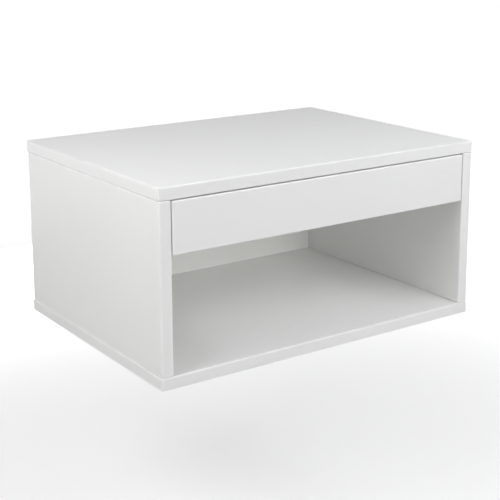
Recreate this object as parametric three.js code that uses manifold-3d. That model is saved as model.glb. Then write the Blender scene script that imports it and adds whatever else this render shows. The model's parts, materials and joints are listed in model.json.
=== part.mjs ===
// A wall-hung nightstand: a white box of five boards, with one drawer above an open cubby.
// Lengths are millimetres. +X points to the user's right, -Y to the user and +Z up.
// The origin lies on the wall plane, midway between the two wall screws that carry the piece.

import * as THREE from 'three';
import { RoundedBoxGeometry } from 'three/addons/geometries/RoundedBoxGeometry.js';
import { mergeVertices } from 'three/addons/utils/BufferGeometryUtils.js';
import Module from 'manifold-3d';

const wasm = await Module();
wasm.setup();

// Carcass boards
const overallWidth = 500;
const overallDepth = 365;
const overallHeight = 248;
const boardThickness = 16;
const boardEdgeRadius = 1.5;
const sideInset = 0.5; // sides stand back from the ends of the top and bottom
const sideRearInset = 2; // and from their rear edges
const backInset = 3; // wall plane to the rear face of the back panel

// Clearances
const jointGap = 0.2; // between two boards that are drawn together
const fitGap = 0.25; // round a fastener in its hole and at its ends
const seatGap = 0.3; // between a runner and the board that carries it
const overrun = 2; // how far a cutter passes the surface that it opens

// Drawer
const frontGap = 1.5; // shadow line above and beside the drawer front
const frontHeight = 65.5;
const fingerRise = 13; // from the lower edge of the front up to the drawer sides
const drawerHeadroom = 10;
const drawerRearRoom = 30;
const drawerBoardThickness = 12;
const drawerEdgeRadius = 0.8;
const drawerBottomThickness = 3;
const drawerBottomRise = 6; // from the lower edge of the sides up to the bottom
const grooveDepth = 4;
const grooveEndGap = 0.5;
const travelShare = 0.75; // of the drawer's length, that it comes out by

// Cam locks and their bolts, which draw the top to the sides and the drawer to its front
const camDiameter = 15;
const drawerCamDiameter = 12;
const camDistance = 24; // from the joint to the middle of the cam
const camFloor = 2.5; // wood left under a cam
const crossLength = 8;
const crossWidth = 1.8;
const crossDepth = 1.5;
const boltThreadLength = 11;
const boltThreadDiameter = 5;
const boltCollarDiameter = 6.6;
const boltCollarHeight = 2;
const boltShankDiameter = 5.2;
const boltNeckDiameter = 3.8;
const boltNeckLength = 3.5;
const boltHeadDiameter = 6.4;
const boltHeadHeight = 3.5;

// Dowels
const dowelDiameter = 8;
const dowelLength = 30;
const dowelDepthInTop = 11;
const dowelChamfer = 1;

// Confirmat screws, driven up through the bottom and through the drawer sides
const confirmatLength = 50;
const drawerBackScrewLength = 38;
const confirmatHeadDiameter = 10;
const confirmatHeadHeight = 3.5;
const confirmatShankDiameter = 7;
const confirmatThreadDiameter = 5;
const confirmatSink = 0.3;
const socketDiameter = 4.6; // across the corners of the hexagon
const socketDepth = 2.5;

// Where the fasteners stand
const fixingSetback = 45; // from the ends of a side
const backFixingShare = 0.2; // of the inner width, from the middle to each back fixing

// Roller runners, one member on the cabinet side and one under the drawer side
const runnerSpace = 12.5; // between the drawer side and the cabinet side
const runnerSteel = 1.2;
const runnerSetback = 3; // behind the drawer front
const flangeMargin = 0.6; // flange beyond the edge of the roller that runs on it
const underFlangeMargin = 2; // under flange short of the drawer side's inner face
const drawerWebHeight = 22;
const rearRollerDiameter = 19;
const rollerRunGap = 0.3; // under the roller
const rollerTopGap = 0.7; // over the rear roller
const frontRollerRise = 0.6; // front roller above the channel
const frontRollerUnderGap = 1.8;
const frontRollerSetback = 14; // from the front end of the cabinet member
const flangeNotchGap = 4; // open length of the upper flange behind the front roller
const rollerSideRoom = 2.1; // between a roller and each web
const rollerEdge = 0.6;
const stopGap = 0.5;
const stopDrop = 4; // open stop, below the upper flange
const axleDiameter = 4;
const axleCollarDiameter = 6;
const axleEndGap = 0.3;
const axleHeadThickness = 0.9;

// Runner screws
const runnerScrewDiameter = 3;
const runnerScrewHeadDiameter = 6;
const runnerScrewHeadHeight = 1.2;
const runnerScrewLength = 13;
const runnerScrewTip = 3;
const runnerScrewSetback = 40; // from the ends of a member
const runnerScrewLift = 0.4; // head above the channel's lower flange
const drawerScrewInset = 4; // from the outer face of the drawer side

// Keyhole hangers on the back panel
const hangBelowTop = 52; // wall screws below the top surface
const hangerSetback = 53.5; // from the cabinet side's inner face to the keyhole
const plateWidth = 30;
const plateHeight = 64;
const plateThickness = 2;
const plateCornerRadius = 3;
const keyholeEntryDiameter = 11;
const keyholeSlotWidth = 5.5;
const keyholeDrop = 14; // from the slot's end down to the middle of the entry
const pocketWidth = 16;
const pocketDepth = 8;
const hangerScrewOffset = 25; // from the middle of the plate
const hangerScrewDiameter = 3.5;
const hangerScrewHeadDiameter = 7;
const hangerScrewHeadHeight = 1.7;
const hangerScrewLength = 12;
const hangerScrewTip = 2.5;
const hangerScrewSink = 0.1;
const hangerCrossLength = 4.2;
const hangerCrossWidth = 0.9;
const hangerCrossDepth = 1;

// Sides of round pieces and steps of round edges
const screwSides = 8;
const drillSides = 12;
const hexagonSides = 6;
const camSides = 20;
const rollerSides = 20;
const edgeSteps = 2;
const drawerEdgeSteps = 1;
const arcSteps = 5;

// Colour, roughness and metalness of each finish
const whiteLacquer = { color: 0xf1f1f2, roughness: 0.35, metalness: 0 };
const whiteFoil = { color: 0xe9e9e7, roughness: 0.55, metalness: 0 };
const beech = { color: 0xd2b284, roughness: 0.7, metalness: 0 };
const castZinc = { color: 0xa9abad, roughness: 0.45, metalness: 0.9 };
const platedSteel = { color: 0xc3c4c2, roughness: 0.3, metalness: 1 };
const whiteEnamel = { color: 0xe8e8e4, roughness: 0.45, metalness: 0.1 };
const whiteNylon = { color: 0xdedfda, roughness: 0.6, metalness: 0 };

// Directions
const rightward = point(1, 0, 0);
const rearward = point(0, 1, 0);
const upward = point(0, 0, 1);
const forward = point(0, -1, 0);
const downward = point(0, 0, -1);
const sides = [['left', -1], ['right', 1]];

// Places in the carcass, measured from the wall plane and from the underside
const frontPlane = -overallDepth;
const innerHalf = overallWidth / 2 - sideInset - boardThickness;
const sideMiddle = innerHalf + boardThickness / 2;
const jointTop = overallHeight - boardThickness;
const sideTop = jointTop - jointGap;
const sideLow = boardThickness + jointGap;
const backFace = -backInset - boardThickness;
const backMiddle = -backInset - boardThickness / 2;
const frontFixing = frontPlane + fixingSetback;
const rearFixing = -sideRearInset - fixingSetback;
const middleFixing = (frontFixing + rearFixing) / 2;
const backFixing = 2 * innerHalf * backFixingShare;
const hangHeight = overallHeight - hangBelowTop;

// Places in the drawer
const frontTop = jointTop - frontGap;
const frontLow = frontTop - frontHeight;
const frontRear = frontPlane + boardThickness;
const drawerFrontEnd = frontRear + jointGap;
const drawerRearEnd = backFace - drawerRearRoom;
const drawerLength = drawerRearEnd - drawerFrontEnd;
const drawerTravel = drawerLength * travelShare;
const drawerOuter = innerHalf - runnerSpace;
const drawerInner = drawerOuter - drawerBoardThickness;
const drawerSideMiddle = drawerOuter - drawerBoardThickness / 2;
const drawerLow = frontLow + fingerRise;
const drawerTop = jointTop - drawerHeadroom;
const bottomLow = drawerLow + drawerBottomRise;
const bottomTop = bottomLow + drawerBottomThickness;
const drawerBackLow = bottomTop + jointGap;
const drawerBackFront = drawerRearEnd - drawerBoardThickness;
const drawerFixingHeight = (drawerBackLow + drawerTop) / 2;

// Places in the runners: distances from the cabinet side's inner face, and heights
const channelWeb = seatGap + runnerSteel;
const drawerWebFar = runnerSpace - seatGap;
const drawerWebNear = drawerWebFar - runnerSteel;
const rollerStart = channelWeb + rollerSideRoom;
const rollerEnd = drawerWebNear - rollerSideRoom;
const rollerWidth = rollerEnd - rollerStart;
const channelReach = rollerEnd + flangeMargin;
const drawerFlangeStart = rollerStart - flangeMargin;
const underFlangeEnd = runnerSpace + drawerBoardThickness - underFlangeMargin;
const drawerMemberLow = drawerLow - seatGap - runnerSteel;
const drawerMemberTop = drawerMemberLow + drawerWebHeight;
const frontRollerTop = drawerMemberTop - runnerSteel - rollerRunGap;
const channelTop = frontRollerTop - frontRollerRise;
const channelInnerTop = channelTop - runnerSteel;
const rearRollerRadius = rearRollerDiameter / 2;
const rearRollerHeight = channelInnerTop - rollerTopGap - rearRollerRadius;
const channelInnerLow = rearRollerHeight - rearRollerRadius - rollerRunGap;
const channelLow = channelInnerLow - runnerSteel;
const frontRollerRadius = (frontRollerTop - channelInnerLow - frontRollerUnderGap) / 2;
const frontRollerHeight = frontRollerTop - frontRollerRadius;
const channelFrontEnd = frontRear + runnerSetback;
const channelRearEnd = channelFrontEnd + drawerLength;
const frontRollerPlace = channelFrontEnd + frontRollerSetback;
const rearRollerPlace = channelRearEnd - runnerSteel - stopGap - rearRollerRadius;
const rearRollerOpenPlace = rearRollerPlace - drawerTravel;

function point(x, y, z) {
  return new THREE.Vector3(x, y, z);
}

// Turns a geometry's triangles into a solid that can be cut and joined.
function toSolid(geometry) {
  const bare = geometry.clone();
  bare.deleteAttribute('normal');
  bare.deleteAttribute('uv');
  const merged = mergeVertices(bare);
  const corners = merged.index.array;
  const kept = [];
  for (let i = 0; i < corners.length; i += 3) {
    const [a, b, c] = corners.slice(i, i + 3);
    const hasArea = a !== b && b !== c && c !== a;
    if (hasArea) {
      kept.push(a, b, c);
    }
  }
  return new wasm.Manifold(new wasm.Mesh({
    numProp: 3,
    vertProperties: new Float32Array(merged.attributes.position.array),
    triVerts: new Uint32Array(kept),
  }));
}

function toGeometry(solid) {
  const mesh = solid.getMesh();
  const geometry = new THREE.BufferGeometry();
  geometry.setAttribute('position', new THREE.BufferAttribute(mesh.vertProperties, mesh.numProp));
  geometry.setIndex(new THREE.BufferAttribute(mesh.triVerts, 1));
  geometry.computeVertexNormals();
  return geometry;
}

// Joins the added geometries to a first one, then cuts the cutters out of it.
function shape(geometry, { added = [], cutters = [] }) {
  let solid = toSolid(geometry);
  for (const piece of added) {
    solid = solid.add(toSolid(piece));
  }
  for (const cutter of cutters) {
    solid = solid.subtract(toSolid(cutter));
  }
  return toGeometry(solid);
}

// A cylinder or cone that starts at a mouth and runs along a direction.
function taper(mouth, direction, start, end, startDiameter, endDiameter, roundSides) {
  const length = end - start;
  const geometry = new THREE.CylinderGeometry(endDiameter / 2, startDiameter / 2, length, roundSides);
  geometry.translate(0, start + length / 2, 0);
  geometry.applyQuaternion(new THREE.Quaternion().setFromUnitVectors(rearward, direction));
  geometry.translate(mouth.x, mouth.y, mouth.z);
  return geometry;
}

// A drill that opens the surface at its mouth and goes in to a depth.
function drill(mouth, direction, depth, diameter, roundSides = drillSides) {
  return taper(mouth, direction, -overrun, depth, diameter, diameter, roundSides);
}

// A cone that opens the surface at its mouth and narrows to a depth.
function countersink(mouth, direction, depth, wide, narrow) {
  const slope = (wide - narrow) / depth;
  return taper(mouth, direction, -overrun, depth, wide + slope * overrun, narrow, drillSides);
}

// A plain box between two opposite corners, given in any order.
function block(first, second) {
  const low = first.clone().min(second);
  const size = first.clone().max(second).sub(low);
  const geometry = new THREE.BoxGeometry(size.x, size.y, size.z);
  geometry.translate(low.x + size.x / 2, low.y + size.y / 2, low.z + size.z / 2);
  return geometry;
}

// Turns a profile of [radius, height] pairs about the Z axis.
function turned(profile, roundSides) {
  const points = profile.map(([radius, height]) => new THREE.Vector2(radius, height));
  const geometry = new THREE.LatheGeometry(points, roundSides);
  geometry.rotateX(Math.PI / 2);
  return geometry;
}

// Two crossed slots sunk into the face at a height on the Z axis.
function crossRecess(length, width, depth, face) {
  const floor = face + depth;
  const mouth = face - overrun;
  return [
    block(point(-length / 2, -width / 2, mouth), point(length / 2, width / 2, floor)),
    block(point(-width / 2, -length / 2, mouth), point(width / 2, length / 2, floor)),
  ];
}

// Adds a mesh whose local Z axis lies along axis and whose local X axis lies along heading.
function addPiece(group, name, finish, geometry, place, axis = upward, heading = rightward) {
  const mesh = new THREE.Mesh(geometry, new THREE.MeshStandardMaterial(finish));
  const across = axis.clone().cross(heading);
  mesh.name = name;
  mesh.position.copy(place);
  mesh.quaternion.setFromRotationMatrix(new THREE.Matrix4().makeBasis(heading, across, axis));
  group.add(mesh);
}

// Adds a board between two corners. Its cutters stand where the board's fasteners stand.
function addBoard(group, name, finish, low, high, radius, steps, cutters) {
  const size = high.clone().sub(low);
  const centre = low.clone().add(high).divideScalar(2);
  const rounded = new RoundedBoxGeometry(size.x, size.y, size.z, steps, radius);
  const placedCutters = cutters.map((cutter) => cutter.translate(-centre.x, -centre.y, -centre.z));
  addPiece(group, name, finish, shape(rounded, { cutters: placedCutters }), centre);
}

// Fasteners. Each lies on its origin with its axis along +Z, the way that it is driven.

const boltReach = camDistance + boltHeadHeight / 2;
const boltHoleDiameter = Math.max(boltHeadDiameter, boltCollarDiameter) + 2 * fitGap;

function camBolt() {
  const collarStart = jointGap + fitGap;
  const collarEnd = collarStart + boltCollarHeight;
  const headStart = boltReach - boltHeadHeight;
  const neckStart = headStart - boltNeckLength;
  return turned([
    [0, -boltThreadLength],
    [boltThreadDiameter / 2, -boltThreadLength],
    [boltThreadDiameter / 2, collarStart],
    [boltCollarDiameter / 2, collarStart],
    [boltCollarDiameter / 2, collarEnd],
    [boltShankDiameter / 2, collarEnd],
    [boltShankDiameter / 2, neckStart],
    [boltNeckDiameter / 2, neckStart],
    [boltNeckDiameter / 2, headStart],
    [boltHeadDiameter / 2, headStart],
    [boltHeadDiameter / 2, boltReach],
    [0, boltReach],
  ], screwSides);
}

// A cam whose bolt enters along local +X, half way through the board that holds the cam.
function camLock(diameter, thickness) {
  const depth = thickness - camFloor;
  const disc = taper(point(0, 0, 0), upward, fitGap, depth - fitGap, diameter, diameter, camSides);
  const headRoom = boltHeadHeight / 2 + fitGap;
  const slotDiameter = boltHeadDiameter + 2 * fitGap;
  const slot = taper(
    point(0, 0, thickness / 2), rightward, -headRoom, diameter, slotDiameter, slotDiameter, drillSides);
  const cross = crossRecess(crossLength, crossWidth, crossDepth, fitGap);
  return shape(disc, { cutters: [slot, ...cross] });
}

function dowel() {
  const radius = dowelDiameter / 2;
  return turned([
    [0, 0],
    [radius - dowelChamfer, 0],
    [radius, dowelChamfer],
    [radius, dowelLength - dowelChamfer],
    [radius - dowelChamfer, dowelLength],
    [0, dowelLength],
  ], drillSides);
}

// A confirmat screw whose thick shank fills the first board, which is grip thick.
function confirmat(length, grip) {
  const shankEnd = grip - confirmatSink;
  const tip = confirmatThreadDiameter / 2;
  const body = turned([
    [0, 0],
    [confirmatHeadDiameter / 2, 0],
    [confirmatShankDiameter / 2, confirmatHeadHeight],
    [confirmatShankDiameter / 2, shankEnd],
    [confirmatThreadDiameter / 2, shankEnd],
    [confirmatThreadDiameter / 2, length - tip],
    [0, length],
  ], screwSides);
  const socket = drill(point(0, 0, 0), upward, socketDepth, socketDiameter, hexagonSides);
  return shape(body, { cutters: [socket] });
}

// The holes of a confirmat screw: head and shank in the first board, thread in the second.
function confirmatShankHoles(face, direction, grip) {
  const headDepth = confirmatSink + confirmatHeadHeight + fitGap;
  return [
    drill(face, direction, headDepth, confirmatHeadDiameter + 2 * fitGap),
    drill(face, direction, grip + overrun, confirmatShankDiameter + 2 * fitGap),
  ];
}

function confirmatThreadHole(edge, direction, length, grip) {
  const depth = confirmatSink + length - grip;
  return drill(edge, direction, depth, confirmatThreadDiameter + 2 * fitGap);
}

function runnerScrew() {
  const headRadius = runnerScrewHeadDiameter / 2;
  const radius = runnerScrewDiameter / 2;
  return turned([
    [0, 0],
    [headRadius - runnerScrewHeadHeight / 2, 0],
    [headRadius, runnerScrewHeadHeight / 2],
    [headRadius, runnerScrewHeadHeight],
    [radius, runnerScrewHeadHeight],
    [radius, runnerScrewHeadHeight + runnerScrewLength - runnerScrewTip],
    [0, runnerScrewHeadHeight + runnerScrewLength],
  ], screwSides);
}

function hangerScrew() {
  const radius = hangerScrewDiameter / 2;
  const body = turned([
    [0, 0],
    [hangerScrewHeadDiameter / 2, 0],
    [radius, hangerScrewHeadHeight],
    [radius, hangerScrewLength - hangerScrewTip],
    [0, hangerScrewLength],
  ], screwSides);
  const cross = crossRecess(hangerCrossLength, hangerCrossWidth, hangerCrossDepth, 0);
  return shape(body, { cutters: cross });
}

// Carcass

const carcass = new THREE.Group();

function boltHolesInTop() {
  return sides.flatMap(([, sign]) => [frontFixing, rearFixing].map((place) => drill(
    point(sign * sideMiddle, place, jointTop), upward, boltThreadLength + fitGap,
    boltThreadDiameter + 2 * fitGap)));
}

function dowelHole(mouth, direction, dowelDepth) {
  return drill(mouth, direction, dowelDepth + fitGap, dowelDiameter + 2 * fitGap);
}

const dowelDepthBelow = dowelLength - dowelDepthInTop - jointGap;

function addTopPanel() {
  const cutters = boltHolesInTop();
  for (const [, sign] of sides) {
    cutters.push(dowelHole(point(sign * sideMiddle, middleFixing, jointTop), upward, dowelDepthInTop));
    cutters.push(dowelHole(point(sign * backFixing, backMiddle, jointTop), upward, dowelDepthInTop));
  }
  const low = point(-overallWidth / 2, frontPlane, jointTop);
  const high = point(overallWidth / 2, 0, overallHeight);
  addBoard(carcass, 'top_panel', whiteLacquer, low, high, boardEdgeRadius, edgeSteps, cutters);
}

// The places of the screws under the bottom panel, with their names.
function bottomScrewPlaces() {
  return sides.flatMap(([side, sign]) => [
    [`${side}_front`, sign * sideMiddle, frontFixing],
    [`${side}_rear`, sign * sideMiddle, rearFixing],
    [`${side}_back`, sign * backFixing, backMiddle],
  ]);
}

function addBottomPanel() {
  const cutters = bottomScrewPlaces().flatMap(([, x, y]) => (
    confirmatShankHoles(point(x, y, 0), upward, boardThickness)));
  const low = point(-overallWidth / 2, frontPlane, 0);
  const high = point(overallWidth / 2, 0, boardThickness);
  addBoard(carcass, 'bottom_panel', whiteLacquer, low, high, boardEdgeRadius, edgeSteps, cutters);
  for (const [name, x, y] of bottomScrewPlaces()) {
    const screw = confirmat(confirmatLength, boardThickness);
    addPiece(carcass, `${name}_confirmat`, platedSteel, screw, point(x, y, confirmatSink));
  }
}

function cabinetScrewPlaces() {
  return [
    ['front', channelFrontEnd + runnerScrewSetback],
    ['rear', channelRearEnd - runnerScrewSetback],
  ];
}

const cabinetScrewHeight = channelInnerLow + runnerScrewHeadDiameter / 2 + runnerScrewLift;
const cabinetScrewFace = channelWeb + jointGap + runnerScrewHeadHeight;

function addSidePanel(side, sign) {
  const inner = sign * innerHalf;
  const middle = sign * sideMiddle;
  const outward = rightward.clone().multiplyScalar(sign);
  const cutters = [
    dowelHole(point(middle, middleFixing, sideTop), downward, dowelDepthBelow),
  ];
  for (const [end, place] of [['front', frontFixing], ['rear', rearFixing]]) {
    const camPlace = point(inner, place, jointTop - camDistance);
    cutters.push(
      drill(point(middle, place, sideTop), downward, boltReach, boltHoleDiameter),
      drill(camPlace, outward, boardThickness - camFloor, camDiameter + 2 * fitGap, camSides),
      confirmatThreadHole(point(middle, place, sideLow), upward, confirmatLength, boardThickness),
    );
    addPiece(
      carcass, `${side}_${end}_cam_lock`, castZinc, camLock(camDiameter, boardThickness),
      camPlace, outward, upward);
    addPiece(
      carcass, `${side}_${end}_cam_bolt`, platedSteel, camBolt(),
      point(middle, place, jointTop), downward);
  }
  for (const [, place] of cabinetScrewPlaces()) {
    const pilotDepth = runnerScrewHeadHeight + runnerScrewLength - cabinetScrewFace + fitGap;
    cutters.push(drill(
      point(inner, place, cabinetScrewHeight), outward, pilotDepth, runnerScrewDiameter + 2 * fitGap));
  }
  const low = point(Math.min(inner, inner + sign * boardThickness), frontPlane, sideLow);
  const high = point(Math.max(inner, inner + sign * boardThickness), -sideRearInset, sideTop);
  addBoard(
    carcass, `${side}_side_panel`, whiteLacquer, low, high, boardEdgeRadius, edgeSteps, cutters);
  addPiece(
    carcass, `${side}_side_dowel`, beech, dowel(),
    point(middle, middleFixing, jointTop + dowelDepthInTop), downward);
}

// Keyhole hangers: the slot's upper end is where the wall screw carries the load.
const hangerPlace = innerHalf - hangerSetback;
const plateHeightMiddle = hangHeight - keyholeDrop / 2;
const plateRear = backInset - jointGap - plateThickness;

function hangerScrewHeights() {
  return [
    ['upper', plateHeightMiddle + hangerScrewOffset],
    ['lower', plateHeightMiddle - hangerScrewOffset],
  ];
}

// A pocket with round ends behind a keyhole, deep enough for the wall screw's head.
function hangerPocket(x) {
  const upper = point(x, -backInset, hangHeight);
  const lower = point(x, -backInset, hangHeight - keyholeDrop);
  const halfWidth = pocketWidth / 2;
  return [
    drill(upper, forward, pocketDepth, pocketWidth, camSides),
    drill(lower, forward, pocketDepth, pocketWidth, camSides),
    block(
      point(x - halfWidth, -backInset + overrun, upper.z),
      point(x + halfWidth, -backInset - pocketDepth, lower.z)),
  ];
}

function addBackPanel() {
  const cutters = [];
  for (const [side, sign] of sides) {
    const x = sign * backFixing;
    const hangerX = sign * hangerPlace;
    cutters.push(
      dowelHole(point(x, backMiddle, sideTop), downward, dowelDepthBelow),
      confirmatThreadHole(point(x, backMiddle, sideLow), upward, confirmatLength, boardThickness),
      ...hangerPocket(hangerX),
    );
    for (const [, height] of hangerScrewHeights()) {
      const pilotDepth = hangerScrewLength - plateThickness + hangerScrewSink - jointGap + fitGap;
      cutters.push(drill(
        point(hangerX, -backInset, height), forward, pilotDepth, hangerScrewDiameter + 2 * fitGap));
    }
    addPiece(
      carcass, `${side}_back_dowel`, beech, dowel(),
      point(x, backMiddle, jointTop + dowelDepthInTop), downward);
  }
  const low = point(-innerHalf + jointGap, backFace, sideLow);
  const high = point(innerHalf - jointGap, -backInset, sideTop);
  addBoard(carcass, 'back_panel', whiteLacquer, low, high, boardEdgeRadius, edgeSteps, cutters);
}

// A flat plate with round corners and one keyhole, standing with its rear face on local Y = 0.
function hangerPlate() {
  const halfWidth = plateWidth / 2 - plateCornerRadius;
  const halfHeight = plateHeight / 2 - plateCornerRadius;
  const outline = new THREE.Shape();
  const quarter = Math.PI / 2;
  outline.absarc(halfWidth, -halfHeight, plateCornerRadius, -quarter, 0, false);
  outline.absarc(halfWidth, halfHeight, plateCornerRadius, 0, quarter, false);
  outline.absarc(-halfWidth, halfHeight, plateCornerRadius, quarter, 2 * quarter, false);
  outline.absarc(-halfWidth, -halfHeight, plateCornerRadius, 2 * quarter, 3 * quarter, false);
  outline.closePath();
  const entryRadius = keyholeEntryDiameter / 2;
  const slotRadius = keyholeSlotWidth / 2;
  const mouthAngle = Math.asin(slotRadius / entryRadius);
  const keyhole = new THREE.Path();
  keyhole.absarc(
    0, -keyholeDrop / 2, entryRadius, quarter + mouthAngle, 5 * quarter - mouthAngle, false);
  keyhole.absarc(0, keyholeDrop / 2, slotRadius, 0, 2 * quarter, false);
  keyhole.closePath();
  outline.holes.push(keyhole);
  const sheet = new THREE.ExtrudeGeometry(
    outline, { depth: plateThickness, bevelEnabled: false, curveSegments: arcSteps });
  sheet.rotateX(quarter);
  const sinks = [hangerScrewOffset, -hangerScrewOffset].flatMap((height) => {
    const mouth = point(0, 0, height);
    const wide = hangerScrewHeadDiameter + 2 * fitGap;
    const narrow = hangerScrewDiameter + 2 * fitGap;
    return [
      countersink(mouth, forward, hangerScrewSink + hangerScrewHeadHeight, wide, narrow),
      drill(mouth, forward, plateThickness + overrun, narrow),
    ];
  });
  return shape(sheet, { cutters: sinks });
}

function addHanger(side, sign) {
  const x = sign * hangerPlace;
  addPiece(
    carcass, `${side}_hanger_plate`, platedSteel, hangerPlate(), point(x, -plateRear, plateHeightMiddle));
  for (const [end, height] of hangerScrewHeights()) {
    addPiece(
      carcass, `${side}_hanger_${end}_screw`, platedSteel, hangerScrew(),
      point(x, -plateRear - hangerScrewSink, height), forward, upward);
  }
}

// Drawer

const drawer = new THREE.Group();
const bottomHalf = drawerInner + grooveDepth - grooveEndGap;

function addDrawerFront() {
  const halfWidth = innerHalf - frontGap;
  const groove = block(
    point(-bottomHalf - grooveEndGap, frontRear + overrun, bottomLow - fitGap),
    point(bottomHalf + grooveEndGap, frontRear - grooveDepth, bottomTop + fitGap));
  const boltHoles = sides.map(([, sign]) => drill(
    point(sign * drawerSideMiddle, frontRear, drawerFixingHeight), forward,
    boltThreadLength + fitGap, boltThreadDiameter + 2 * fitGap));
  addBoard(
    drawer, 'drawer_front', whiteLacquer, point(-halfWidth, frontPlane, frontLow),
    point(halfWidth, frontRear, frontTop), boardEdgeRadius, edgeSteps, [groove, ...boltHoles]);
}

function drawerScrewPlaces() {
  return [
    ['front', drawerFrontEnd + runnerScrewSetback],
    ['rear', drawerRearEnd - runnerScrewSetback],
  ];
}

function addDrawerSide(side, sign) {
  const inner = sign * drawerInner;
  const outer = sign * drawerOuter;
  const middle = sign * drawerSideMiddle;
  const outward = rightward.clone().multiplyScalar(sign);
  const inward = outward.clone().negate();
  const backScrewPlace = drawerRearEnd - drawerBoardThickness / 2;
  const camPlace = point(inner, frontRear + camDistance, drawerFixingHeight);
  const cutters = [
    block(
      point(inner - sign * overrun, drawerFrontEnd - overrun, bottomLow - fitGap),
      point(inner + sign * grooveDepth, drawerRearEnd + overrun, bottomTop + fitGap)),
    drill(point(middle, drawerFrontEnd, drawerFixingHeight), rearward, boltReach, boltHoleDiameter),
    drill(camPlace, outward, drawerBoardThickness - camFloor, drawerCamDiameter + 2 * fitGap, camSides),
    ...confirmatShankHoles(
      point(outer, backScrewPlace, drawerFixingHeight), inward, drawerBoardThickness),
  ];
  for (const [, place] of drawerScrewPlaces()) {
    const pilotDepth = runnerScrewLength - runnerSteel - seatGap - jointGap + fitGap;
    cutters.push(drill(
      point(outer - sign * drawerScrewInset, place, drawerLow), upward, pilotDepth,
      runnerScrewDiameter + 2 * fitGap));
  }
  addBoard(
    drawer, `drawer_${side}_side`, whiteFoil,
    point(Math.min(inner, outer), drawerFrontEnd, drawerLow),
    point(Math.max(inner, outer), drawerRearEnd, drawerTop),
    drawerEdgeRadius, drawerEdgeSteps, cutters);
  addPiece(
    drawer, `drawer_${side}_cam_lock`, castZinc, camLock(drawerCamDiameter, drawerBoardThickness),
    camPlace, outward, forward);
  addPiece(
    drawer, `drawer_${side}_cam_bolt`, platedSteel, camBolt(),
    point(middle, frontRear, drawerFixingHeight), rearward);
  addPiece(
    drawer, `drawer_${side}_back_screw`, platedSteel,
    confirmat(drawerBackScrewLength, drawerBoardThickness),
    point(outer - sign * confirmatSink, backScrewPlace, drawerFixingHeight), inward, upward);
}

function addDrawerBack() {
  const half = drawerInner - jointGap;
  const screwHoles = sides.map(([, sign]) => confirmatThreadHole(
    point(sign * half, drawerRearEnd - drawerBoardThickness / 2, drawerFixingHeight),
    rightward.clone().multiplyScalar(-sign), drawerBackScrewLength, drawerBoardThickness));
  addBoard(
    drawer, 'drawer_back', whiteFoil, point(-half, drawerBackFront, drawerBackLow),
    point(half, drawerRearEnd, drawerTop), drawerEdgeRadius, drawerEdgeSteps, screwHoles);
}

function addDrawerBottom() {
  const sheet = block(
    point(-bottomHalf, frontRear - grooveDepth + grooveEndGap, bottomLow),
    point(bottomHalf, drawerRearEnd, bottomTop));
  addPiece(drawer, 'drawer_bottom', whiteFoil, sheet, point(0, 0, 0));
}

// Runners. A section is drawn as [distance from the cabinet side, height] pairs and runs
// forwards from the member's rear end.

function runnerSection(pairs, sign, length) {
  const outline = new THREE.Shape(pairs.map(([reach, height]) => new THREE.Vector2(-sign * reach, height)));
  const geometry = new THREE.ExtrudeGeometry(outline, { depth: length, bevelEnabled: false });
  geometry.rotateX(Math.PI / 2);
  return geometry;
}

function runnerBlock(sign, reach, length, height) {
  return block(
    point(-sign * reach[0], length[0], height[0]),
    point(-sign * reach[1], length[1], height[1]));
}

// The cabinet member: a channel with a closed rear end and a stop for the open drawer.
function cabinetMember(sign) {
  const channel = runnerSection([
    [seatGap, channelLow],
    [channelReach, channelLow],
    [channelReach, channelInnerLow],
    [channelWeb, channelInnerLow],
    [channelWeb, channelInnerTop],
    [channelReach, channelInnerTop],
    [channelReach, channelTop],
    [seatGap, channelTop],
  ], sign, drawerLength);
  const fullReach = [seatGap, channelReach];
  const closedStop = runnerBlock(sign, fullReach, [-runnerSteel, 0], [channelLow, channelTop]);
  const stopLow = channelInnerTop - stopDrop;
  const stopRise = stopLow - rearRollerHeight;
  const rollerHalfChord = Math.sqrt(rearRollerRadius ** 2 - stopRise ** 2);
  const stopRear = rearRollerOpenPlace - rollerHalfChord - stopGap - channelRearEnd;
  const openStop = runnerBlock(sign, fullReach, [stopRear - runnerSteel, stopRear], [stopLow, channelTop]);
  const notchRear = frontRollerPlace + frontRollerRadius + flangeNotchGap - channelRearEnd;
  const notch = runnerBlock(
    sign, [channelWeb, channelReach + overrun], [-drawerLength - overrun, notchRear],
    [channelInnerTop - jointGap, channelTop + overrun]);
  const web = point(0, 0, 0);
  const inward = rightward.clone().multiplyScalar(-sign);
  const holes = cabinetScrewPlaces().map(([, place]) => drill(
    web.clone().setY(place - channelRearEnd).setZ(cabinetScrewHeight), inward,
    channelWeb + overrun / 2, runnerScrewDiameter + 2 * fitGap));
  const axleHole = drill(
    web.clone().setY(frontRollerPlace - channelRearEnd).setZ(frontRollerHeight), inward,
    channelWeb + overrun / 2, axleDiameter + 2 * fitGap);
  return shape(channel, { added: [closedStop, openStop], cutters: [notch, axleHole, ...holes] });
}

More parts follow.
